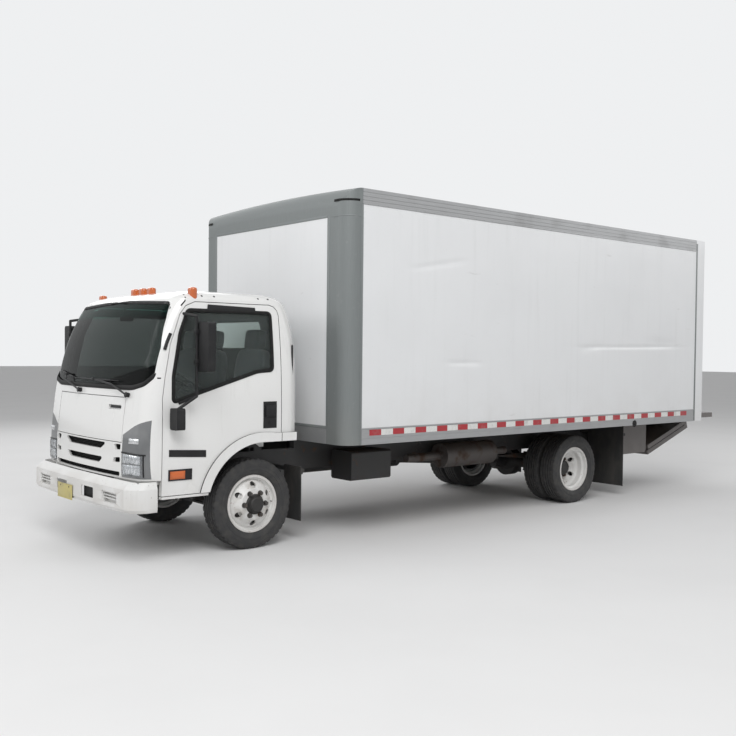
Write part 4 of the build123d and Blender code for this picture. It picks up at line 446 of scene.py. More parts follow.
# Dark rusty steel; its dark base is partly painted shade for the shadow under the body
coat(
    "exhaust", "exhaust_steel", Paint("exhaust steel", (0.11, 0.10, 0.095), 0.55, 0.6)
    .layer((6.0, 9.0), (0.48, 0.7), (0.085, 0.045, 0.028), 0.8, 0.3)
    .grain((60.0, 6.0), 0.8).finish(0.0008, 0.5), "exhaust",
)
coat(
    "tyre", "tyre", Paint("tyre rubber", (0.032, 0.032, 0.033), 0.72)
    .layer((14.0, 8.0), (0.4, 0.75), (0.075, 0.070, 0.063), 0.50)
    .grain((160.0, 4.0), 0.8).finish(0.0008, 0.5),
    "tyre_front_left tyre_front_right tyres_rear_left tyres_rear_right",
)
coat(
    "flap", "flap_rubber", Paint("flap rubber", (0.028, 0.028, 0.028), 0.7)
    .layer((8.0, 8.0, (1, 1, 0.4)), (0.4, 0.75), (0.080, 0.074, 0.066), 0.5)
    .grain((40.0, 4.0), 1.0).finish(0.001, 0.5), "mud_flaps",
)
coat(
    "plastic", "black_plastic", Paint("black plastic", (0.013, 0.013, 0.014), 0.48)
    .layer((7.0, 6.0), (0.5, 0.8), (0.04, 0.04, 0.04), 0.4, 0.15)
    .grain((420.0, 2.0), 1.0).finish(0.0004, 0.5, Specular_IOR_Level=0.3), "mirror_left mirror_right",
)
# Near-black rubber for window seals, seams, plugs and covers, and also the painted shade in the tow opening,
# the lamp recesses and behind the grille
coat(
    "black_seal_and_shade", "black_plastic", Paint("black rubber and painted shade", (0.007, 0.007, 0.007), 0.6)
    .layer((18.0, 6.0), (0.5, 0.8), (0.04, 0.039, 0.038), 0.35)
    .grain((200.0, 3.0), 0.7).finish(0.0005, 0.5, Specular_IOR_Level=0.25),
)
coat(
    "plate", "cab_paint", Paint("plate paint", (0.52, 0.45, 0.17), 0.40)
    .layer((14.0, 7.0), (0.45, 0.75), (0.34, 0.30, 0.16), 0.6)
    .grain((80.0, 3.0), 0.5).finish(0.0006, 0.4),
)
coat(
    "clear", "lamp_glass", Paint("clear lens", (0.84, 0.86, 0.88), 0.03)
    .layer((6.0, 6.0), (0.45, 0.8), (0.70, 0.70, 0.66), 0.3, 0.12)
    .finish(Transmission_Weight=0.95, IOR=1.2),
)
coat(
    "smoked", "lamp_glass", Paint("smoked lens", (0.16, 0.165, 0.17), 0.12)
    .layer((6.0, 6.0), (0.45, 0.8), (0.24, 0.24, 0.24), 0.5)
    .finish(Coat_Weight=0.8, Coat_Roughness=0.05), "headlamps",
)
coat(
    "mirror", "glass", Paint("mirror face", (0.75, 0.77, 0.78), 0.03, 1.0)
    .layer((9.0, 6.0), (0.5, 0.8), (0.55, 0.56, 0.56), 0.4, 0.08).finish(),
)

# Mesh building
VIEWS = {
    "left": (lambda a, b: Vector((3.0, a, b)), Vector((-1, 0, 0))),
    "front": (lambda a, b: Vector((a, -6.0, b)), Vector((0, 1, 0))),
    "rear": (lambda a, b: Vector((a, 6.0, b)), Vector((0, -1, 0))),
}
SHARP_ANGLE = math.radians(32)


class Skin:
    """The outer surface of some CAD nodes, for details that lie on it."""

    def __init__(self, *names):
        places, faces = [], []
        for name in names:
            mesh = nodes[name].data
            first = len(places)
            places += [vertex.co.copy() for vertex in mesh.vertices]
            faces += [[first + index for index in face.vertices] for face in mesh.polygons]
        self.tree = BVHTree.FromPolygons(places, faces)

    def hit(self, view, a, b):
        start, direction = VIEWS[view]
        place, normal, _, _ = self.tree.ray_cast(start(a, b), direction)
        if place is None:
            return None, None
        return place, -normal if normal.dot(direction) > 0 else normal

    def trace(self, view, places, lift=0.0):
        """Points over the surface, and its normals there."""
        found = [self.hit(view, *place) for place in places]
        found = [(place + normal * lift, normal) for place, normal in found if place is not None]
        return [place for place, _ in found], [normal for _, normal in found]

    def line(self, view, start, end, count, lift):
        places = [Vector(start).lerp(Vector(end), index / count) for index in range(count + 1)]
        return self.trace(view, places, lift)


def circle(sides):
    return [(math.cos(TAU * step / sides), math.sin(TAU * step / sides)) for step in range(sides)]


class Shape:
    """Joins simple forms into one mesh."""

    def __init__(self):
        self.mesh = bmesh.new()

    def ring(self, points):
        return [self.mesh.verts.new(point) for point in points]

    def rim(self, first, second):
        """Faces between two closed rings of vertices."""
        for index in range(len(first)):
            after = (index + 1) % len(first)
            self.mesh.faces.new((first[index], first[after], second[after], second[index]))

    def sheet(self, columns, rows, place):
        """A grid of faces over place(column, row). Gives back the vertices round its edge."""
        grid = [self.ring(place(column, row) for column in range(columns + 1)) for row in range(rows + 1)]
        for low, high in zip(grid, grid[1:]):
            for column in range(columns):
                self.mesh.faces.new((low[column], low[column + 1], high[column + 1], high[column]))
        edge = grid[0] + [row[-1] for row in grid[1:]]
        return edge + grid[-1][-2::-1] + [row[0] for row in grid[-2:0:-1]]

    def block(self, low, high, bevel=0.003):
        size = Vector(high) - Vector(low)
        middle = (Vector(high) + Vector(low)) / 2
        place = Matrix.Translation(middle) @ Matrix.Diagonal((*size, 1))
        corners = bmesh.ops.create_cube(self.mesh, size=1, matrix=place)["verts"]
        if bevel:
            edges = list({edge for corner in corners for edge in corner.link_edges})
            bmesh.ops.bevel(self.mesh, geom=edges, offset=bevel, segments=2, affect="EDGES", profile=0.5)
        return self

    def rod(self, start, end, radius, sides=20, end_radius=None):
        axis = Vector(end) - Vector(start)
        turn = axis.to_track_quat("Z", "Y").to_matrix().to_4x4()
        bmesh.ops.create_cone(
            self.mesh, cap_ends=True, segments=sides, radius1=radius, depth=axis.length,
            radius2=radius if end_radius is None else end_radius,
            matrix=Matrix.Translation((Vector(start) + Vector(end)) / 2) @ turn,
        )
        return self

    def rings(self, rings, closed=False):
        """Joins rings of points, each as long as the others, into a skin."""
        rows = [self.ring(points) for points in rings]
        for first, second in zip(rows, rows[1:] + rows[:1] if closed else rows[1:]):
            self.rim(first, second)
        if not closed:
            self.mesh.faces.new(rows[0][::-1])
            self.mesh.faces.new(rows[-1])
        return self

    def bead(self, path, normals, half_width, height, sides=10, closed=False, sunk=0.35):
        """A half-buried oval bead along a path that lies on a surface."""
        rings = []
        last = len(path) - 1
        for index, place in enumerate(path):
            before = path[index - 1] if index or closed else place
            after = path[(index + 1) % len(path)] if index < last or closed else place
            along = (after - before).normalized()
            normal = (normals[index] - normals[index].dot(along) * along).normalized()
            across = along.cross(normal)
            rings.append([
                place + across * cosine * half_width + normal * height * max(sine, -sunk)
                for cosine, sine in circle(sides)
            ])
        return self.rings(rings, closed)

    def tube(self, path, radius, sides=12):
        """A round tube along a path of points."""
        side = Vector((0.31, 0.87, 0.39))
        normals = []
        for index in range(len(path)):
            before = path[max(index - 1, 0)]
            after = path[min(index + 1, len(path) - 1)]
            along = (after - before).normalized()
            side = (side - side.dot(along) * along).normalized()
            normals.append(side.copy())
        return self.bead(path, normals, radius, radius, sides, sunk=1.0)

    def dome(self, place, normal, radius, height, sides=8):
        place = Vector(place)
        turn = normal.to_track_quat("Z", "Y").to_matrix()
        rows = []
        for share, lift in ((1.0, -0.2), (1.0, 0.0), (0.72, 0.75)):
            reach = radius * share
            points = [Vector((reach * cosine, reach * sine, height * lift)) for cosine, sine in circle(sides)]
            rows.append(self.ring(place + turn @ point for point in points))
        self.rim(rows[0], rows[1])
        self.rim(rows[1], rows[2])
        top = self.mesh.verts.new(place + normal * height)
        for index, corner in enumerate(rows[2]):
            self.mesh.faces.new((corner, rows[2][(index + 1) % sides], top))
        self.mesh.faces.new(rows[0][::-1])
        return self

    def patch(self, skin, view, corners, lift, cells, bulge=0.0, sunk=0.004):
        """A plate that follows a skin. Corners are its four (a, b) places, in order round it."""
        first, second, third, fourth = [Vector(corner) for corner in corners]
        across, up = cells

        def point(column, row, under):
            u, v = column / across, row / up
            a, b = first.lerp(second, u).lerp(fourth.lerp(third, u), v)
            place, normal = skin.hit(view, a, b)
            if place is None:
                raise ValueError(f"no surface at {view} {a:.3f} {b:.3f}")
            crown = bulge * (1 - (2 * u - 1) ** 4) * (1 - (2 * v - 1) ** 4)
            return place + normal * (-sunk if under else lift + crown)

        top = self.sheet(across, up, lambda column, row: point(column, row, False))
        base = self.sheet(across, up, lambda column, row: point(column, row, True))
        self.rim(top, base)
        return self

    def mirrored(self):
        """Adds the same forms on the other side."""
        whole = self.mesh.verts[:] + self.mesh.edges[:] + self.mesh.faces[:]
        for part in bmesh.ops.duplicate(self.mesh, geom=whole)["geom"]:
            if isinstance(part, bmesh.types.BMVert):
                part.co.x = -part.co.x
        return self

    def piece(self, name, material, body, smooth=True, flip=False):
        if flip:
            for vertex in self.mesh.verts:
                vertex.co.x = -vertex.co.x
        bmesh.ops.recalc_face_normals(self.mesh, faces=self.mesh.faces[:])
        mesh = bpy.data.meshes.new(name)
        self.mesh.to_mesh(mesh)
        self.mesh.free()
        mesh.materials.append(MATERIALS[material])
        if smooth:
            mesh.polygons.foreach_set("use_smooth", [True] * len(mesh.polygons))
            mesh.set_sharp_from_angle(angle=SHARP_ANGLE)
        made = bpy.data.objects.new(name, mesh)
        bpy.context.scene.collection.objects.link(made)
        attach(made, body)
        return made


def on_both(name, material, body, build):
    """A piece that is built for the left side, on both sides."""
    for side, way in SIDES:
        build().piece(f"{name}_{side}", material, body.format(side), flip=way < 0)


def plates(name, material, body, skin, view, *rows):
    """Plates that follow a skin, on both sides."""
    def build():
        shape = Shape()
        for row in rows:
            shape.patch(skin, view, *row)
        return shape

    on_both(name, material, body, build)


def rounded(points, radius, step):
    """A closed outline with arcs at its corners and points at an even spacing."""
    ring = []
    count = len(points)
    for index in range(count):
        corner = Vector(points[index])
        before = Vector(points[index - 1]) - corner
        after = Vector(points[(index + 1) % count]) - corner
        reach = min(radius, 0.45 * before.length, 0.45 * after.length)
        start = corner + before.normalized() * reach
        end = corner + after.normalized() * reach
        for turn in range(7):
            share = turn / 6
            ring.append(start * (1 - share) ** 2 + corner * 2 * share * (1 - share) + end * share ** 2)
    filled = []
    for point, after in zip(ring, ring[1:] + ring[:1]):
        length = (after - point).length
        if length < 1e-5:
            continue
        pieces = max(1, round(length / step))
        filled += [point.lerp(after, part / pieces) for part in range(pieces)]
    return filled


def grown(ring, amount):
    """The outline moved outwards by an amount."""
    pairs = zip(ring, ring[1:] + ring[:1])
    area = sum(first.x * second.y - second.x * first.y for first, second in pairs)
    way = 1 if area > 0 else -1
    moved = []
    for index, point in enumerate(ring):
        along = (ring[(index + 1) % len(ring)] - ring[index - 1]).normalized()
        moved.append(point + way * amount * Vector((along.y, -along.x)))
    return moved


# Cab
cab_skin = Skin("cab_shell", "front_lid")
front_skin = Skin("cab_shell", "front_lid", "cab_glass", "grille", "headlamps")
door_skin = Skin("door_left")
lamp_skin = Skin("headlamps")
bumper_skin = Skin("front_bumper")
dash_skin = Skin("dashboard")

WINDSHIELD = [
    (-0.930, 1.500), (-0.760, 1.462), (0.760, 1.462), (0.930, 1.500), (0.988, 1.570), (0.978, 1.800),
    (0.930, 2.040), (0.888, 2.172), (0.0, 2.205), (-0.888, 2.172), (-0.930, 2.040), (-0.978, 1.800),
    (-0.988, 1.570),
]
REAR_WINDOW = [(-0.470, 1.790), (0.470, 1.790), (0.450, 2.075), (-0.450, 2.075)]
DOOR_FRONT, DOOR_REAR = -0.948, 0.228
DOOR_WINDOW = [
    (at(DOOR_FRONT + 0.096), 1.345), (at(DOOR_FRONT + 0.100), 1.560), (at(DOOR_FRONT + 0.175), 1.919),
    (at(DOOR_FRONT + 0.262), 2.118), (at(DOOR_REAR - 0.086), 2.118), (at(DOOR_REAR - 0.090), 1.606),
    (at(DOOR_REAR - 0.250), 1.596),
]


def seal_ring(skin, view, outline, radius, half_width=0.017, height=0.009, spread=0.0):
    ring = grown(rounded(outline, radius, 0.035), spread)
    path, normals = [], []
    for inner, outer in zip(ring, grown(ring, 0.012)):
        place, normal = skin.hit(view, *outer)
        if place is not None:
            back = inner - outer
            shift = Vector((0, back.x, back.y)) if view == "left" else Vector((back.x, 0, back.y))
            path.append(place + shift)
            normals.append(normal)
    return Shape().bead(path, normals, half_width, height, closed=True)


def make_seals():
    windshield = seal_ring(cab_skin, "front", WINDSHIELD, 0.05, 0.021, 0.009, 0.004)
    windshield.piece("windshield_seal", "black_seal_and_shade", "cab")
    seal_ring(cab_skin, "rear", REAR_WINDOW, 0.06).piece("rear_window_seal", "black_seal_and_shade", "cab")
    on_both("door_seal", "black_seal_and_shade", "door_{}", lambda: seal_ring(door_skin, "left", DOOR_WINDOW, 0.035))


WIPERS = [
    {"pivot": (0.722, 1.397), "elbow": (0.464, 1.475), "blade": ((-0.34, 1.512), (0.54, 1.508))},
    {"pivot": (-0.179, 1.409), "elbow": (-0.520, 1.485), "blade": ((-0.80, 1.570), (-0.33, 1.508))},
]


def make_wipers():
    shape = Shape()
    clip = Vector((0.025, 0.012, 0.012))
    for wiper in WIPERS:
        pivot, normal = front_skin.hit("front", *wiper["pivot"])
        shape.rod(pivot - normal * 0.01, pivot + normal * 0.030, 0.020)
        shape.rod(pivot + normal * 0.030, pivot + normal * 0.037, 0.024, end_radius=0.016)
        elbow, bend = front_skin.hit("front", *wiper["elbow"])
        blade, out = front_skin.line("front", *wiper["blade"], 14, 0.012)
        middle = blade[len(blade) // 2] + out[0] * 0.022
        arm = [pivot + normal * 0.028, elbow + bend * 0.042, middle]
        shape.bead(arm, [normal, bend, bend], 0.009, 0.006, sunk=1.0)
        spine = [point + out[0] * 0.010 for point in blade[2:-2]]
        shape.bead(spine, out[2:-2], 0.007, 0.006, sunk=1.0)
        shape.bead(blade, out, 0.005, 0.012, sides=8, sunk=1.0)
        shape.block(middle - clip, middle + clip, 0.004)
    shape.piece("wipers", "plastic", "cab")


def behind_grille(x, z, depth):
    return Vector((x, GRILLE_FACE + x * x / GRILLE_BOW + depth, z))


def make_grille_mesh():
    """A dark honeycomb screen close behind the grille's openings, with a black sheet of painted shade behind
    it.
    """
    columns = 28
    low, high = 0.705, 0.990
    # Painted shade: a thin black slab behind the screen for the dark space behind the grille.
    grid = []
    for column in range(columns + 1):
        x = -0.675 + 1.35 * column / columns
        grid.append([
            behind_grille(x, z, depth)
            for z, depth in ((low, 0.036), (high, 0.036), (high, 0.041), (low, 0.041))
        ])
    Shape().rings(grid).piece("grille_shade_sheet", "black_seal_and_shade", "cab")
    wires = []
    for row in range(22):
        z = 0.712 + 0.013 * row
        wires.append([behind_grille(-0.67 + 1.34 * step / 40, z, 0.033) for step in range(41)])
    for column in range(-32, 33):
        x = column * 0.0205
        places = ((x - 0.02, 0.708), (x, 0.85), (x + 0.02, 0.988))
        wires.append([behind_grille(*place, 0.034) for place in places])
    screen = Shape()
    for wire in wires:
        screen.bead(wire, [FORWARD] * len(wire), 0.0017, 0.004, sides=6, sunk=1.0)
    screen.piece("grille_screen", "plastic", "cab")


BEZEL = (((0.704, 0.921), (0.992, 0.913)), ((0.978, 0.908), (0.978, 0.732)))


def lamp_bezel():
    shape = Shape()
    for start, end in BEZEL:
        shape.bead(*lamp_skin.line("front", start, end, 14, 0.002), 0.006, 0.007)
    return shape


def make_lamp_details():
    """Clear lower lens over two reflector bowls, a reflector on the grey turn lens above and a bezel between.
    """
    plates(
        "lamp_reflectors", "reflector", "cab", lamp_skin, "front",
        ([(0.722, 0.832), (0.955, 0.838), (0.955, 0.902), (0.722, 0.908)], 0.0016, (10, 8), 0.004),
        ([(0.722, 0.740), (0.955, 0.746), (0.955, 0.826), (0.722, 0.820)], 0.0016, (10, 8), 0.004),
    )
    plates(
        "lamp_lens", "clear", "cab", lamp_skin, "front",
        ([(0.712, 0.731), (0.970, 0.735), (0.970, 0.905), (0.712, 0.915)], 0.0075, (14, 10), 0.002, 0.0),
    )
    on_both("lamp_bezel", "plastic", "cab", lamp_bezel)
    plates(
        "turn_reflector", "reflector", "cab", lamp_skin, "front",
        ([(0.800, 0.998), (0.937, 1.002), (0.937, 1.042), (0.800, 1.042)], 0.003, (8, 4), 0.005),
    )


# Plates on the doors: name, material, lift, cells, bulge, corners (Y behind the front axle, Z)
DOOR_PLATES = (
    ("door_strip", "plastic", 0.004, (12, 2), 0.0,
     ((-0.889, 0.893), (-0.540, 0.870), (-0.541, 0.930), (-0.889, 0.951))),
    ("door_visor", "plastic", 0.008, (12, 3), 0.003,
     ((-0.500, 2.122), (-0.016, 2.122), (-0.016, 2.158), (-0.490, 2.170))),
    ("side_lamp_frame", "plastic", 0.006, (8, 3), 0.0,
     ((-0.892, 0.690), (-0.672, 0.690), (-0.672, 0.783), (-0.892, 0.783))),
    ("side_lamp_lens", "amber", 0.009, (8, 4), 0.005,
     ((-0.878, 0.703), (-0.740, 0.703), (-0.740, 0.770), (-0.878, 0.770))),
)
HANDLE_RECESS = [(at(0.036), 1.089), (at(0.178), 1.089), (at(0.178), 1.327), (at(0.036), 1.327)]


def door_handle():
    shape = Shape().patch(door_skin, "left", HANDLE_RECESS, 0.0035, (6, 8))
    grip, _ = door_skin.hit("left", at(0.107), 1.21)
    shape.block(grip + Vector((-0.004, -0.052, -0.020)), grip + Vector((0.020, 0.052, 0.085)), 0.009)
    return shape.rod(grip + Vector((-0.004, 0, -0.078)), grip + Vector((0.008, 0, -0.078)), 0.014)


def make_door_details():
    for name, material, lift, cells, bulge, corners in DOOR_PLATES:
        places = [(at(y), z) for y, z in corners]
        plates(name, material, "door_{}", door_skin, "left", (places, lift, cells, bulge))
    on_both("door_handle", "plastic", "door_{}", door_handle)


MIRRORS = {"left": (1, -0.690), "right": (-1, -0.850)}


def make_mirror_faces():
    for side, (way, y) in MIRRORS.items():
        faces, clamps = Shape(), Shape()
        rear, low_rear = at(y + 0.080), at(-0.818)
        faces.block((1.134, rear - 0.002, 1.625), (1.286, rear + 0.004, 1.985), 0.003)
        faces.block((1.072, low_rear - 0.002, 1.130), (1.168, low_rear + 0.004, 1.290), 0.003)
        faces.piece(f"mirror_glass_{side}", "mirror", f"door_{side}", flip=way < 0)
        for z in (1.68, 1.93):
            clamps.block((1.108, at(y) - 0.022, z - 0.022), (1.152, at(y) + 0.030, z + 0.022), 0.006)
        clamps.piece(f"mirror_clamps_{side}", "plastic", f"door_{side}", flip=way < 0)


def make_plate():
    """A blank number plate with a turned edge, its holder and a black sheet of painted shade inside the tow
    opening.
    """
    left, low, right, high = -0.350, 0.436, -0.020, 0.570
    front = min(bumper_skin.hit("front", x, 0.50)[0].y for x in (left, right))
    plate, holder, hole = Shape(), Shape(), Shape()
    plate.block((left, front - 0.008, low), (right, front - 0.0055, high), 0.001)
    for z in (low, high - 0.006):
        plate.block((left, front - 0.010, z), (right, front - 0.007, z + 0.006), 0.001)
    plate.piece("front_plate", "plate", "chassis")
    holder.block((left + 0.01, front - 0.006, 0.455), (right - 0.01, front + 0.012, high - 0.01), 0.002)
    for x in (-0.280, -0.090):
        holder.dome((x, front - 0.008, 0.548), FORWARD, 0.008, 0.004, 10)
    holder.piece("plate_holder", "steel", "chassis")
    # Painted shade: a black sheet 30 mm inside the tow opening.
    face, _ = bumper_skin.hit("front", 0.10, 0.55)
    hole.block((0.150, face.y + 0.030, 0.490), (0.410, face.y + 0.034, 0.606), 0.001)
    hole.piece("tow_hole_shade", "black_seal_and_shade", "chassis")


CAB_SEAMS = (
    [(-0.677, 2.252), (-0.690, 2.222), (-0.702, 2.193), (-0.722, 2.172), (-0.743, 2.150)],
    [(-0.985, 1.545), (-0.972, 1.545), (-0.958, 1.545)],
)


def pillar_grip():
    return Shape().bead(*cab_skin.line("front", (0.997, 1.779), (0.988, 1.914), 8, 0.003), 0.014, 0.012)


def gutter_plugs():
    shape = Shape()
    places = [(at(y), 2.243) for y in (-0.530, -0.410, 0.040, 0.145)]
    for place, normal in zip(*cab_skin.trace("left", places)):
        shape.dome(place, normal, 0.010, 0.004, 10)
    return shape


def cab_vent():
    place, _ = cab_skin.hit("left", at(0.360), 1.69)
    return Shape().block((place.x - 0.006, at(0.356), 1.542), (place.x + 0.004, at(0.372), 1.835), 0.002)


def make_cab_trim():
    on_both("pillar_grip", "plastic", "cab", pillar_grip)
    on_both("gutter_plugs", "black_seal_and_shade", "cab", gutter_plugs)
    on_both("cab_vent", "plastic", "cab", cab_vent)
    seams = Shape()
    for ring in CAB_SEAMS:
        seams.bead(*cab_skin.trace("left", [(at(y), z) for y, z in ring]), 0.006, 0.0025)
    seams.mirrored().piece("cab_seams", "black_seal_and_shade", "cab")
    corners = [(0.430, 1.280), (0.622, 1.280), (0.622, 1.303), (0.430, 1.303)]
    slot = Shape().patch(front_skin, "front", corners, 0.003, (8, 3))
    slot.piece("lid_handle", "plastic", "front_lid")


# Freight body
BOX_SIDE = 1.2955
BOX_FRONT = at(0.761)
BOX_REAR = at(6.857)
POST_REAR = at(0.950)
FRAME_FRONT = at(6.662)
WALL_LOW, WALL_HIGH = 1.064, 3.150
WALL_THICKNESS = 0.040
CORNER_RADIUS = 0.150
# Dents in the left wall: middle (Y, Z), half length, half height, depth, rise per metre
DENTS = (
    (at(5.240), 1.872, 0.980, 0.020, 0.0080, 0.012),
    (at(5.900), 1.930, 0.300, 0.060, 0.0060, 0.0),
    (at(4.420), 1.850, 0.220, 0.045, 0.0060, 0.10),
    (at(2.310), 1.676, 0.240, 0.024, 0.0080, 0.0),
    (at(2.400), 1.720, 0.130, 0.060, 0.0045, 0.0),
    (at(1.950), 2.655, 0.360, 0.030, 0.0060, 0.17),
)


def dent_depth(way, y, z):
    """How far the wall's sheet lies inside its plane."""
    ripple = math.sin(7.7 * y + 0.6) * math.sin(3.1 * z + 1.3) + 0.5 * math.sin(17.0 * y) * math.sin(5.3 * z)
    depth = 0.0008 + 0.0005 * ripple
    if way > 0:
        for middle_y, middle_z, length, height, deep, rise in DENTS:
            along = (y - middle_y) / length
            up = (z - middle_z - rise * (y - middle_y)) / height
            depth += deep * math.exp(-along ** 4 - up * up)
    return depth


def make_walls():
    """The freight body's side walls, with the dents of the left one."""
    for side, way in SIDES:
        columns, rows = (286, 160) if way > 0 else (96, 48)

        def sheet_place(column, row):
            y = POST_REAR + (FRAME_FRONT - POST_REAR) * column / columns
            z = WALL_LOW + (WALL_HIGH - WALL_LOW) * row / rows
            return way * (BOX_SIDE - dent_depth(way, y, z)), y, z

        shape = Shape()
        edge = shape.sheet(columns, rows, sheet_place)
        back = shape.ring([(way * (BOX_SIDE - WALL_THICKNESS), vertex.co.y, vertex.co.z) for vertex in edge])
        shape.rim(edge, back)
        shape.mesh.faces.new(back)
        wall = shape.piece(f"wall_{side}", "body", "chassis")
        if way > 0:
            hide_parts("walls_side")


def corner_path(z, start_x, end_y):
    """Points and normals round a front corner of the body at one height."""
    centre = Vector((BOX_SIDE - CORNER_RADIUS, BOX_FRONT + CORNER_RADIUS, z))
    path = [Vector((start_x + (centre.x - start_x) * step / 4, BOX_FRONT, z)) for step in range(4)]
    normals = [FORWARD] * 4
    for step in range(11):
        turn = math.radians(9) * step
        normals.append(Vector((math.sin(turn), -math.cos(turn), 0)))
        path.append(centre + normals[-1] * CORNER_RADIUS)
    return path + [Vector((BOX_SIDE, end_y, z))], normals + [LEFT]


def make_post_caps():
    """Lower edge of the cast corner caps on the front posts, and a black bead of painted shade for their lamp
    recesses.
    """
    edges = Shape().bead(*corner_path(3.035, 1.090, POST_REAR - 0.002), 0.007, 0.003)
    # Painted shade: a black bead round the corner stands for the dark inside of the lamp recesses.
    recesses = Shape().bead(*corner_path(3.180, 1.100, BOX_FRONT + 0.135), 0.011, 0.0025)
    edges.mirrored().piece("post_cap_edges", "grey", "chassis")
    recesses.mirrored().piece("post_cap_recess_shade", "black_seal_and_shade", "chassis")


TAPE_LOW, TAPE_HIGH = 0.992, 1.048
REAR_TAPE_LOW, REAR_TAPE_HIGH = 0.925, 0.941
TAPE_PITCH, TAPE_RED = 0.294, 0.145
TAPE_SUNK, TAPE_PROUD = 0.001, 0.0012


def make_tape():
    red, white = Shape(), Shape()
    near, far = BOX_SIDE - TAPE_SUNK, BOX_SIDE + TAPE_PROUD
    for count in range(19):
        start = at(1.050) + TAPE_PITCH * count
        middle = start + TAPE_RED
        red.block((near, start, TAPE_LOW), (far, middle, TAPE_HIGH), 0)
        if count < 18:
            white.block((near, middle, TAPE_LOW), (far, start + TAPE_PITCH, TAPE_HIGH), 0)
    red.mirrored()
    white.mirrored()
    near, far = BOX_REAR - TAPE_SUNK, BOX_REAR + TAPE_PROUD
    for count in range(8):
        start = -1.16 + TAPE_PITCH * count
        middle = start + TAPE_RED
        red.block((start, near, REAR_TAPE_LOW), (middle, far, REAR_TAPE_HIGH), 0)
        white.block((middle, near, REAR_TAPE_LOW), (start + 0.290, far, REAR_TAPE_HIGH), 0)
    red.piece("tape_red", "red_tape", "chassis", smooth=False)
    white.piece("tape_white", "white_tape", "chassis", smooth=False)


# Ribs of the rails: low, high, how far they stand out
RAIL_RIBS = (
    (3.146, 3.158, 0.004), (3.186, 3.192, 0.003), (3.222, 3.228, 0.003), (3.262, 3.268, 0.003),
    (1.054, 1.066, 0.004), (0.908, 0.916, 0.004), (0.966, 0.971, 0.003),
)
PANEL_HALF = 1.0055


def make_rail_ribs():
    """Raised ribs of the extruded rails, and the lips where they lap the walls."""
    ribs, lips = Shape(), Shape()
    near, far = BOX_SIDE - 0.004, BOX_SIDE + 0.0025
    for low, high, proud in RAIL_RIBS:
        ribs.block((near, POST_REAR, low), (BOX_SIDE + proud, FRAME_FRONT, high), 0.0012)
    ribs.mirrored().piece("rail_ribs", "ribbed", "chassis")
    lips.block((near, POST_REAR - 0.026, 0.914), (far, POST_REAR + 0.004, 3.148), 0.001)
    lips.block((near, FRAME_FRONT - 0.004, 0.914), (far, FRAME_FRONT + 0.026, 3.250), 0.001)
    near, far = BOX_FRONT - 0.0025, BOX_FRONT + 0.004
    lips.block((PANEL_HALF - 0.006, near, 1.064), (PANEL_HALF + 0.030, far, 3.050), 0.001)
    lips.mirrored()
    for low, high in ((3.030, 3.056), (1.050, 1.078)):
        lips.block((-PANEL_HALF, near, low), (PANEL_HALF, far, high), 0.001)
    lips.piece("panel_lips", "grey", "chassis")


WALL_RIVET = (0.0055, 0.0022)
RAIL_RIVET = (0.0045, 0.002)
SHEET_RIVET = (0.0042, 0.0012, 6)


def make_rivets():
    pale, dark = Shape(), Shape()
    front = BOX_FRONT - 0.0025
    for count in range(47):
        y = POST_REAR + 0.06 + 0.1205 * count
        for z in (3.134, 1.082):
            pale.dome((BOX_SIDE, y, z), LEFT, *WALL_RIVET)
        dark.dome((BOX_SIDE + 0.0035, y, 3.152), LEFT, *RAIL_RIVET)
    for count in range(20):
        z = 1.10 + 0.1045 * count
        for y in (POST_REAR + 0.022, FRAME_FRONT - 0.020):
            pale.dome((BOX_SIDE, y, z), LEFT, *WALL_RIVET)
        dark.dome((BOX_SIDE + 0.0025, POST_REAR - 0.012, z), LEFT, *RAIL_RIVET)
        dark.dome((1.018, front, z), FORWARD, *RAIL_RIVET)
    pale.mirrored()
    dark.mirrored()
    for _, way in SIDES:
        for column in range(1, 14):
            y = POST_REAR + 0.4079 * column
            for count in range(34):
                z = 1.12 + 0.0595 * count
                pale.dome((way * (BOX_SIDE - dent_depth(way, y, z)), y, z), way * LEFT, *SHEET_RIVET)
    for count in range(20):
        for z in (3.043, 1.064):
            dark.dome((-0.95 + 0.1 * count, front, z), FORWARD, *RAIL_RIVET)
    pale.piece("wall_rivets", "body", "chassis")
    dark.piece("rail_rivets", "grey", "chassis")


# Wheels
TYRE_RADIUS = 0.4055
TREAD_HALF = 0.095
BEAD_HALF = 0.081
BEAD_RADIUS = 0.2475
FLANGE_RADIUS = 0.260
GROOVES = (-0.054, -0.018, 0.018, 0.054)
GROOVE_DEPTH = 0.011
NOTCH_DEPTH = 0.008
TREAD_STEPS = 168
NUTS = 6
NUT_CIRCLE = 0.111


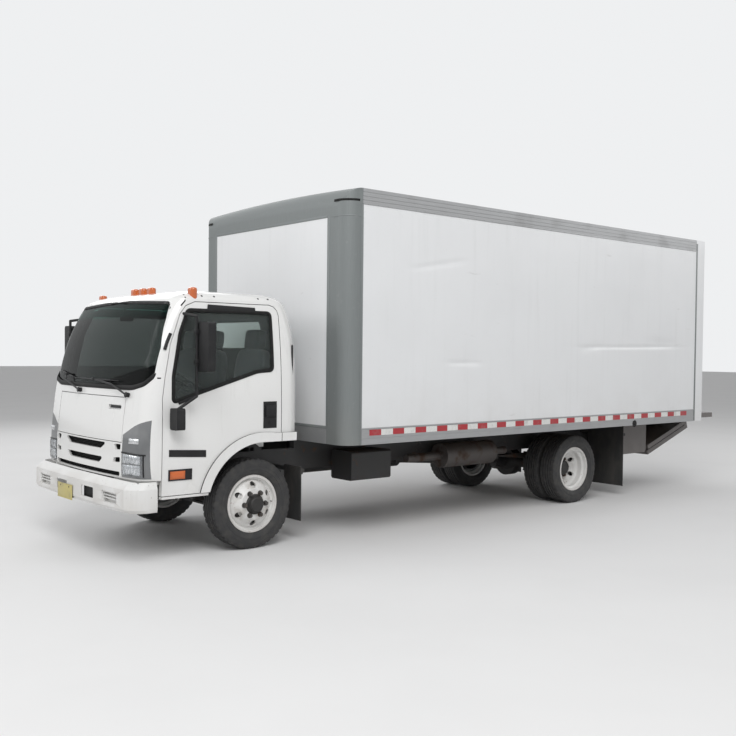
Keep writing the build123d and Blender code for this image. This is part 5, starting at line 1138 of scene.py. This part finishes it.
def tread_profile(notched):
    """The tyre's closed section as (across, radius), with notched or plain shoulders."""
    points = []
    for groove in GROOVES:
        points += [
            (groove - 0.0060, TYRE_RADIUS), (groove - 0.0042, TYRE_RADIUS - GROOVE_DEPTH),
            (groove + 0.0042, TYRE_RADIUS - GROOVE_DEPTH), (groove + 0.0060, TYRE_RADIUS),
        ]
    notch = NOTCH_DEPTH if notched else 0.0
    shoulder = [
        (0.066, TYRE_RADIUS - 0.0010), (0.068, TYRE_RADIUS - 0.0010 - notch),
        (TREAD_HALF, TYRE_RADIUS - 0.004 - notch), (0.1045, TYRE_RADIUS - 0.019 - notch / 2),
        (0.1065, TYRE_RADIUS - 0.026),
    ]
    wall = [
        (0.1100, 0.362), (0.1122, 0.349), (0.1137, 0.3475), (0.1137, 0.3455), (0.1125, 0.344),
        (0.1124, 0.330), (0.1120, 0.315), (0.1128, 0.3135), (0.1128, 0.3115), (0.1106, 0.310),
        (0.1060, 0.290), (0.0975, 0.272), (0.0900, 0.2640), (BEAD_HALF, FLANGE_RADIUS + 0.002),
        (BEAD_HALF, BEAD_RADIUS), (BEAD_HALF - 0.024, BEAD_RADIUS), (0.083, 0.372), (0.0, 0.387),
    ]
    left_side = [(-along, radius) for along, radius in reversed(shoulder + wall[:-1])]
    return left_side + points + shoulder + wall


def add_tyre(shape, x, y):
    plain, notched = tread_profile(False), tread_profile(True)
    rings = []
    for step, (cosine, sine) in enumerate(circle(TREAD_STEPS)):
        profile = plain if step % 4 else notched
        rings.append([(x + along, y + radius * cosine, AXLE_Z + radius * sine) for along, radius in profile])
    shape.rings(rings, closed=True)


def wheel_nuts(y, face_x):
    shape = Shape()
    for cosine, sine in circle(NUTS):
        place = Vector((face_x, y + NUT_CIRCLE * cosine, AXLE_Z + NUT_CIRCLE * sine))
        for length, radius, sides in ((0.027, 0.0195, 6), (0.036, 0.0105, 12), (0.004, 0.024, 20)):
            shape.rod(place, place + LEFT * length, radius, sides)
    return shape


def wheel_valve(y, outer):
    places = ((outer - 0.03, 0.205), (outer - 0.005, 0.212), (outer + 0.012, 0.214))
    return Shape().tube([Vector((x, y + back, AXLE_Z)) for x, back in places], 0.004)


# Wheel, tyre, axle, middle of each tyre, hub face and valve (X)
WHEELS = [
    ("wheel_front", "tyre_front", FRONT_AXLE_Y, (0.833,), FRONT_HUB_FACE, 0.90),
    ("wheels_rear", "tyres_rear", REAR_AXLE_Y, (0.700, 0.950), REAR_HUB_FACE, 0.89),
]


def make_tyres():
    for wheel, tyre, y, places, face_x, valve_x in WHEELS:
        for side, way in SIDES:
            shape = Shape()
            for x in places:
                add_tyre(shape, x, y)
            made = shape.piece(f"tread_{tyre}_{side}", "tyre", f"{wheel}_{side}", flip=way < 0)
            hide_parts(f"{tyre}_{side}")
        on_both(f"nuts_{wheel}", "steel", wheel + "_{}", lambda: wheel_nuts(y, face_x))
        on_both(f"valve_{wheel}", "plastic", wheel + "_{}", lambda: wheel_valve(y, valve_x))


# Seats and dashboard
SEAT_ROUNDNESS = 6.0
SEATS = [("driver", 0.540, 0.245, (0.540,)), ("bench", -0.430, 0.460, (-0.650, -0.210))]


def cushion(name, middle, size, lean, channels, body="cab"):
    """A crowned seat form with sewn channels, its corners drawn in."""
    shape = bmesh.new()
    bmesh.ops.create_cube(shape, size=2)
    bmesh.ops.subdivide_edges(shape, edges=shape.edges[:], cuts=13, use_grid_fill=True)
    turn = Matrix.Rotation(math.radians(lean), 3, "X")
    for vertex in shape.verts:
        norm = sum(abs(part) ** SEAT_ROUNDNESS for part in vertex.co) ** (1 / SEAT_ROUNDNESS)
        u, v, w = vertex.co / norm
        lift = 0.035 * (1 - u * u) * (1 - v * v) if w > 0 else 0.0
        for channel in channels:
            lift -= 0.020 * math.exp(-((v - channel) / 0.05) ** 2) if w > 0.2 else 0
        place = Vector((u * size[0] / 2, v * size[1] / 2, w * size[2] / 2 + lift))
        vertex.co = Vector(middle) + turn @ place
    mesh = bpy.data.meshes.new(name)
    shape.to_mesh(mesh)
    shape.free()
    mesh.materials.append(MATERIALS["cloth"])
    mesh.polygons.foreach_set("use_smooth", [True] * len(mesh.polygons))
    made = bpy.data.objects.new(name, mesh)
    bpy.context.scene.collection.objects.link(made)
    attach(made, body)
    return made


def make_seats():
    first = None
    bases = Shape()
    for name, x, half, heads in SEATS:
        base = cushion(f"seat_{name}", (x, at(-0.08), 1.095), (2 * half, 0.49, 0.19), -4, (-0.45, 0.45))
        cushion(f"seat_back_{name}", (x, at(0.210), 1.455), (2 * half, 0.68, 0.11), -98, (-0.35, 0.4))
        first = first or base
        for number, place in enumerate(heads):
            cushion(f"headrest_{name}_{number}", (place, at(0.262), 1.880), (0.25, 0.19, 0.09), -98, ())
            posts = Shape()
            for post in (place - 0.06, place + 0.06):
                posts.rod((post, at(0.255), 1.72), (post, at(0.262), 1.83), 0.006)
            posts.piece(f"headrest_posts_{name}_{number}", "steel", "cab")
        bases.block((x - half + 0.02, at(-0.24), 0.998), (x + half - 0.02, at(0.20), 1.03), 0.008)
    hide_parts("seats")
    bases.piece("seat_bases", "trim", "cab")


def make_dash_details():
    """Air vents, the dials' hood and the inner mirror."""
    shape, mirror = Shape(), Shape()
    for x in (-0.70, -0.08, 0.12, 0.80):
        place, _ = dash_skin.hit("rear", x, 1.30)
        if place is None:
            continue
        for row in range(4):
            z = 1.28 + 0.016 * row
            shape.block((x - 0.055, place.y - 0.004, z), (x + 0.055, place.y + 0.006, z + 0.006), 0.001)
        for side in (x - 0.061, x + 0.061):
            shape.block((side - 0.003, place.y - 0.002, 1.268), (side + 0.003, place.y + 0.008, 1.345), 0.001)
    shape.block((-0.17, at(-0.972), 1.430), (0.17, at(-0.932), 1.446), 0.002)
    shape.piece("dash_vents", "plastic", "cab")
    mirror.block((-0.12, at(-0.790), 2.035), (0.12, at(-0.765), 2.095), 0.010)
    mirror.rod((0.0, at(-0.785), 2.08), (0.0, at(-0.800), 2.170), 0.008)
    mirror.piece("inner_mirror", "plastic", "cab")


# Rear and underside
DOOR_FACE = BOX_REAR - 0.042
ROLL_DOOR_LOW, ROLL_DOOR_HIGH = 1.045, 3.060
ROLL_PANELS = 7


def make_rear_details():
    """Hinges and rollers of the roll-up door, its handle and latch, grab handles and rub blocks."""
    metal, black = Shape(), Shape()
    face, low = DOOR_FACE, ROLL_DOOR_LOW
    for panel in range(1, ROLL_PANELS):
        z = low + (ROLL_DOOR_HIGH - low) * panel / ROLL_PANELS
        for x in (-1.12, -0.40, 0.40, 1.12):
            metal.block((x - 0.025, face - 0.001, z - 0.045), (x + 0.025, face + 0.004, z + 0.040), 0.001)
            metal.rod((x - 0.03, face + 0.005, z - 0.002), (x + 0.03, face + 0.005, z - 0.002), 0.006, 12)
            for lift in (-0.03, 0.026):
                metal.dome((x, face + 0.004, z + lift), BACKWARD, 0.006, 0.003)
    metal.block((-0.07, face + 0.010, low + 0.10), (0.07, face + 0.022, low + 0.20), 0.003)
    metal.rod((-0.05, face + 0.030, low + 0.15), (0.09, face + 0.030, low + 0.15), 0.010)
    metal.piece("roll_door_hinges", "steel", "chassis")
    x = 1.2305
    rail = ((-0.002, 1.50), (0.05, 1.53), (0.05, 1.95), (-0.002, 1.98))
    black.tube([Vector((x, BOX_REAR + out, z)) for out, z in rail], 0.011)
    for z in (1.50, 1.98):
        black.block((x - 0.022, BOX_REAR - 0.001, z - 0.03), (x + 0.022, BOX_REAR + 0.005, z + 0.03), 0.002)
    for z in (1.255, 1.385):
        black.rod((x, BOX_REAR, z), (x, BOX_REAR + 0.012, z), 0.057, 32)
    black.mirrored()
    black.block((-0.02, face + 0.002, low + 0.22), (0.02, face + 0.005, low + 0.62), 0.001)
    black.piece("rear_handles", "plastic", "chassis")


SPRING_BOLTS = ((FRONT_AXLE_Y, 0.29, 0.44), (REAR_AXLE_Y, 0.33, 0.55))
FRAME_SIDE = 0.4255
HOSES = ((-0.20, 0.62), (0.22, 0.60))
HOSE_WAVE = 0.10


def make_under_details():
    """U-bolts over the springs, bolt heads on the rails, hoses and the notch cover in the rail."""
    bolts, notch, hoses = Shape(), Shape(), Shape()
    for axle_y, low, high in SPRING_BOLTS:
        for y in (axle_y - 0.055, axle_y + 0.055):
            bolts.rod((0.307, y, high), (0.393, y, high), 0.008, 10)
            for x in (0.307, 0.393):
                bolts.rod((x, y, low), (x, y, high), 0.008, 10)
                bolts.rod((x, y, low - 0.012), (x, y, low + 0.004), 0.014, 6)
    for y in (1.35, 2.5, 3.35, 3.91, 5.09, 5.85):
        for z in (0.70, 0.77):
            for shift in (-0.03, 0.03):
                bolts.dome((FRAME_SIDE, at(y) + shift, z), LEFT, 0.009, 0.007, 6)
    bolts.mirrored().piece("frame_bolts", "steel", "chassis")
    notch.rod((1.290, at(5.320), 0.930), (1.2995, at(5.320), 0.930), 0.042, 24)
    notch.mirrored().piece("rail_notch_covers", "black_seal_and_shade", "chassis")
    for x, low in HOSES:
        lifts = [low + HOSE_WAVE * (0.5 + 0.5 * math.sin(step)) for step in range(14)]
        hoses.tube([Vector((x, at(0.45 + 0.25 * step), z)) for step, z in enumerate(lifts)], 0.010)
    hoses.piece("frame_hoses", "flap", "chassis")


make_seals()
make_wipers()
make_grille_mesh()
make_lamp_details()
make_door_details()
make_mirror_faces()
make_plate()
make_cab_trim()
make_walls()
make_post_caps()
make_tape()
make_rail_ribs()
make_rivets()
make_tyres()
make_seats()
make_dash_details()
make_rear_details()
make_under_details()

# Stage
FLOOR_REACH = 90.0


def make_stage():
    floor_paint = Paint("studio floor", (0.80, 0.80, 0.80), 0.8)
    floor_paint.layer((0.7, 3.0), (0.4, 0.7), (0.77, 0.77, 0.77), 0.5)
    mesh = bpy.data.meshes.new("floor")
    corners = [(x * FLOOR_REACH, y * FLOOR_REACH, 0) for x, y in ((-1, -1), (1, -1), (1, 1), (-1, 1))]
    mesh.from_pydata(corners, [], [(0, 1, 2, 3)])
    floor = bpy.data.objects.new("floor", mesh)
    floor.data.materials.append(floor_paint.finish())
    bpy.context.scene.collection.objects.link(floor)


def area_lamp(name, place, target, size, power):
    data = bpy.data.lights.new(name, "AREA")
    data.shape = "RECTANGLE"
    data.size, data.size_y = size
    data.energy = power
    lamp = bpy.data.objects.new(name, data)
    turn = (Vector(target) - Vector(place)).to_track_quat("-Z", "Y").to_matrix().to_4x4()
    lamp.matrix_world = Matrix.Translation(place) @ turn
    bpy.context.scene.collection.objects.link(lamp)


def make_world():
    """A soft grey light, behind a paler backdrop that is seen directly and in reflections."""
    world = bpy.data.worlds.new("studio")
    bpy.context.scene.world = world
    world.use_nodes = True
    tree = world.node_tree
    tree.nodes.clear()
    link = tree.links.new

    def background(color, strength):
        made = tree.nodes.new("ShaderNodeBackground")
        made.inputs["Color"].default_value = (*color, 1)
        made.inputs["Strength"].default_value = strength
        return made.outputs[0]

    def either(first, second):
        made = tree.nodes.new("ShaderNodeMath")
        made.operation = "MAXIMUM"
        link(first, made.inputs[0])
        link(second, made.inputs[1])
        return made.outputs[0]

    rays = tree.nodes.new("ShaderNodeLightPath").outputs
    seen = either(rays["Is Camera Ray"], rays["Is Transmission Ray"])
    mix = tree.nodes.new("ShaderNodeMixShader")
    link(either(seen, rays["Is Glossy Ray"]), mix.inputs[0])
    link(background((0.90, 0.90, 0.905), 0.42), mix.inputs[1])
    link(background((0.86, 0.87, 0.88), 1.0), mix.inputs[2])
    link(mix.outputs[0], tree.nodes.new("ShaderNodeOutputWorld").inputs["Surface"])


make_stage()
make_world()
area_lamp("key", (9.0, -8.0, 11.0), (0, 0, 1.5), (8.0, 8.0), 1150.0)
area_lamp("front", (-6.0, -13.0, 7.0), (0, -4.0, 1.3), (7.0, 5.0), 380.0)
area_lamp("rear", (6.0, 13.0, 7.0), (0, 3.0, 1.5), (8.0, 5.0), 330.0)
area_lamp("far_side", (-11.0, 2.0, 8.0), (0, 0, 1.5), (9.0, 6.0), 330.0)
bpy.context.scene.view_settings.view_transform = "Standard"
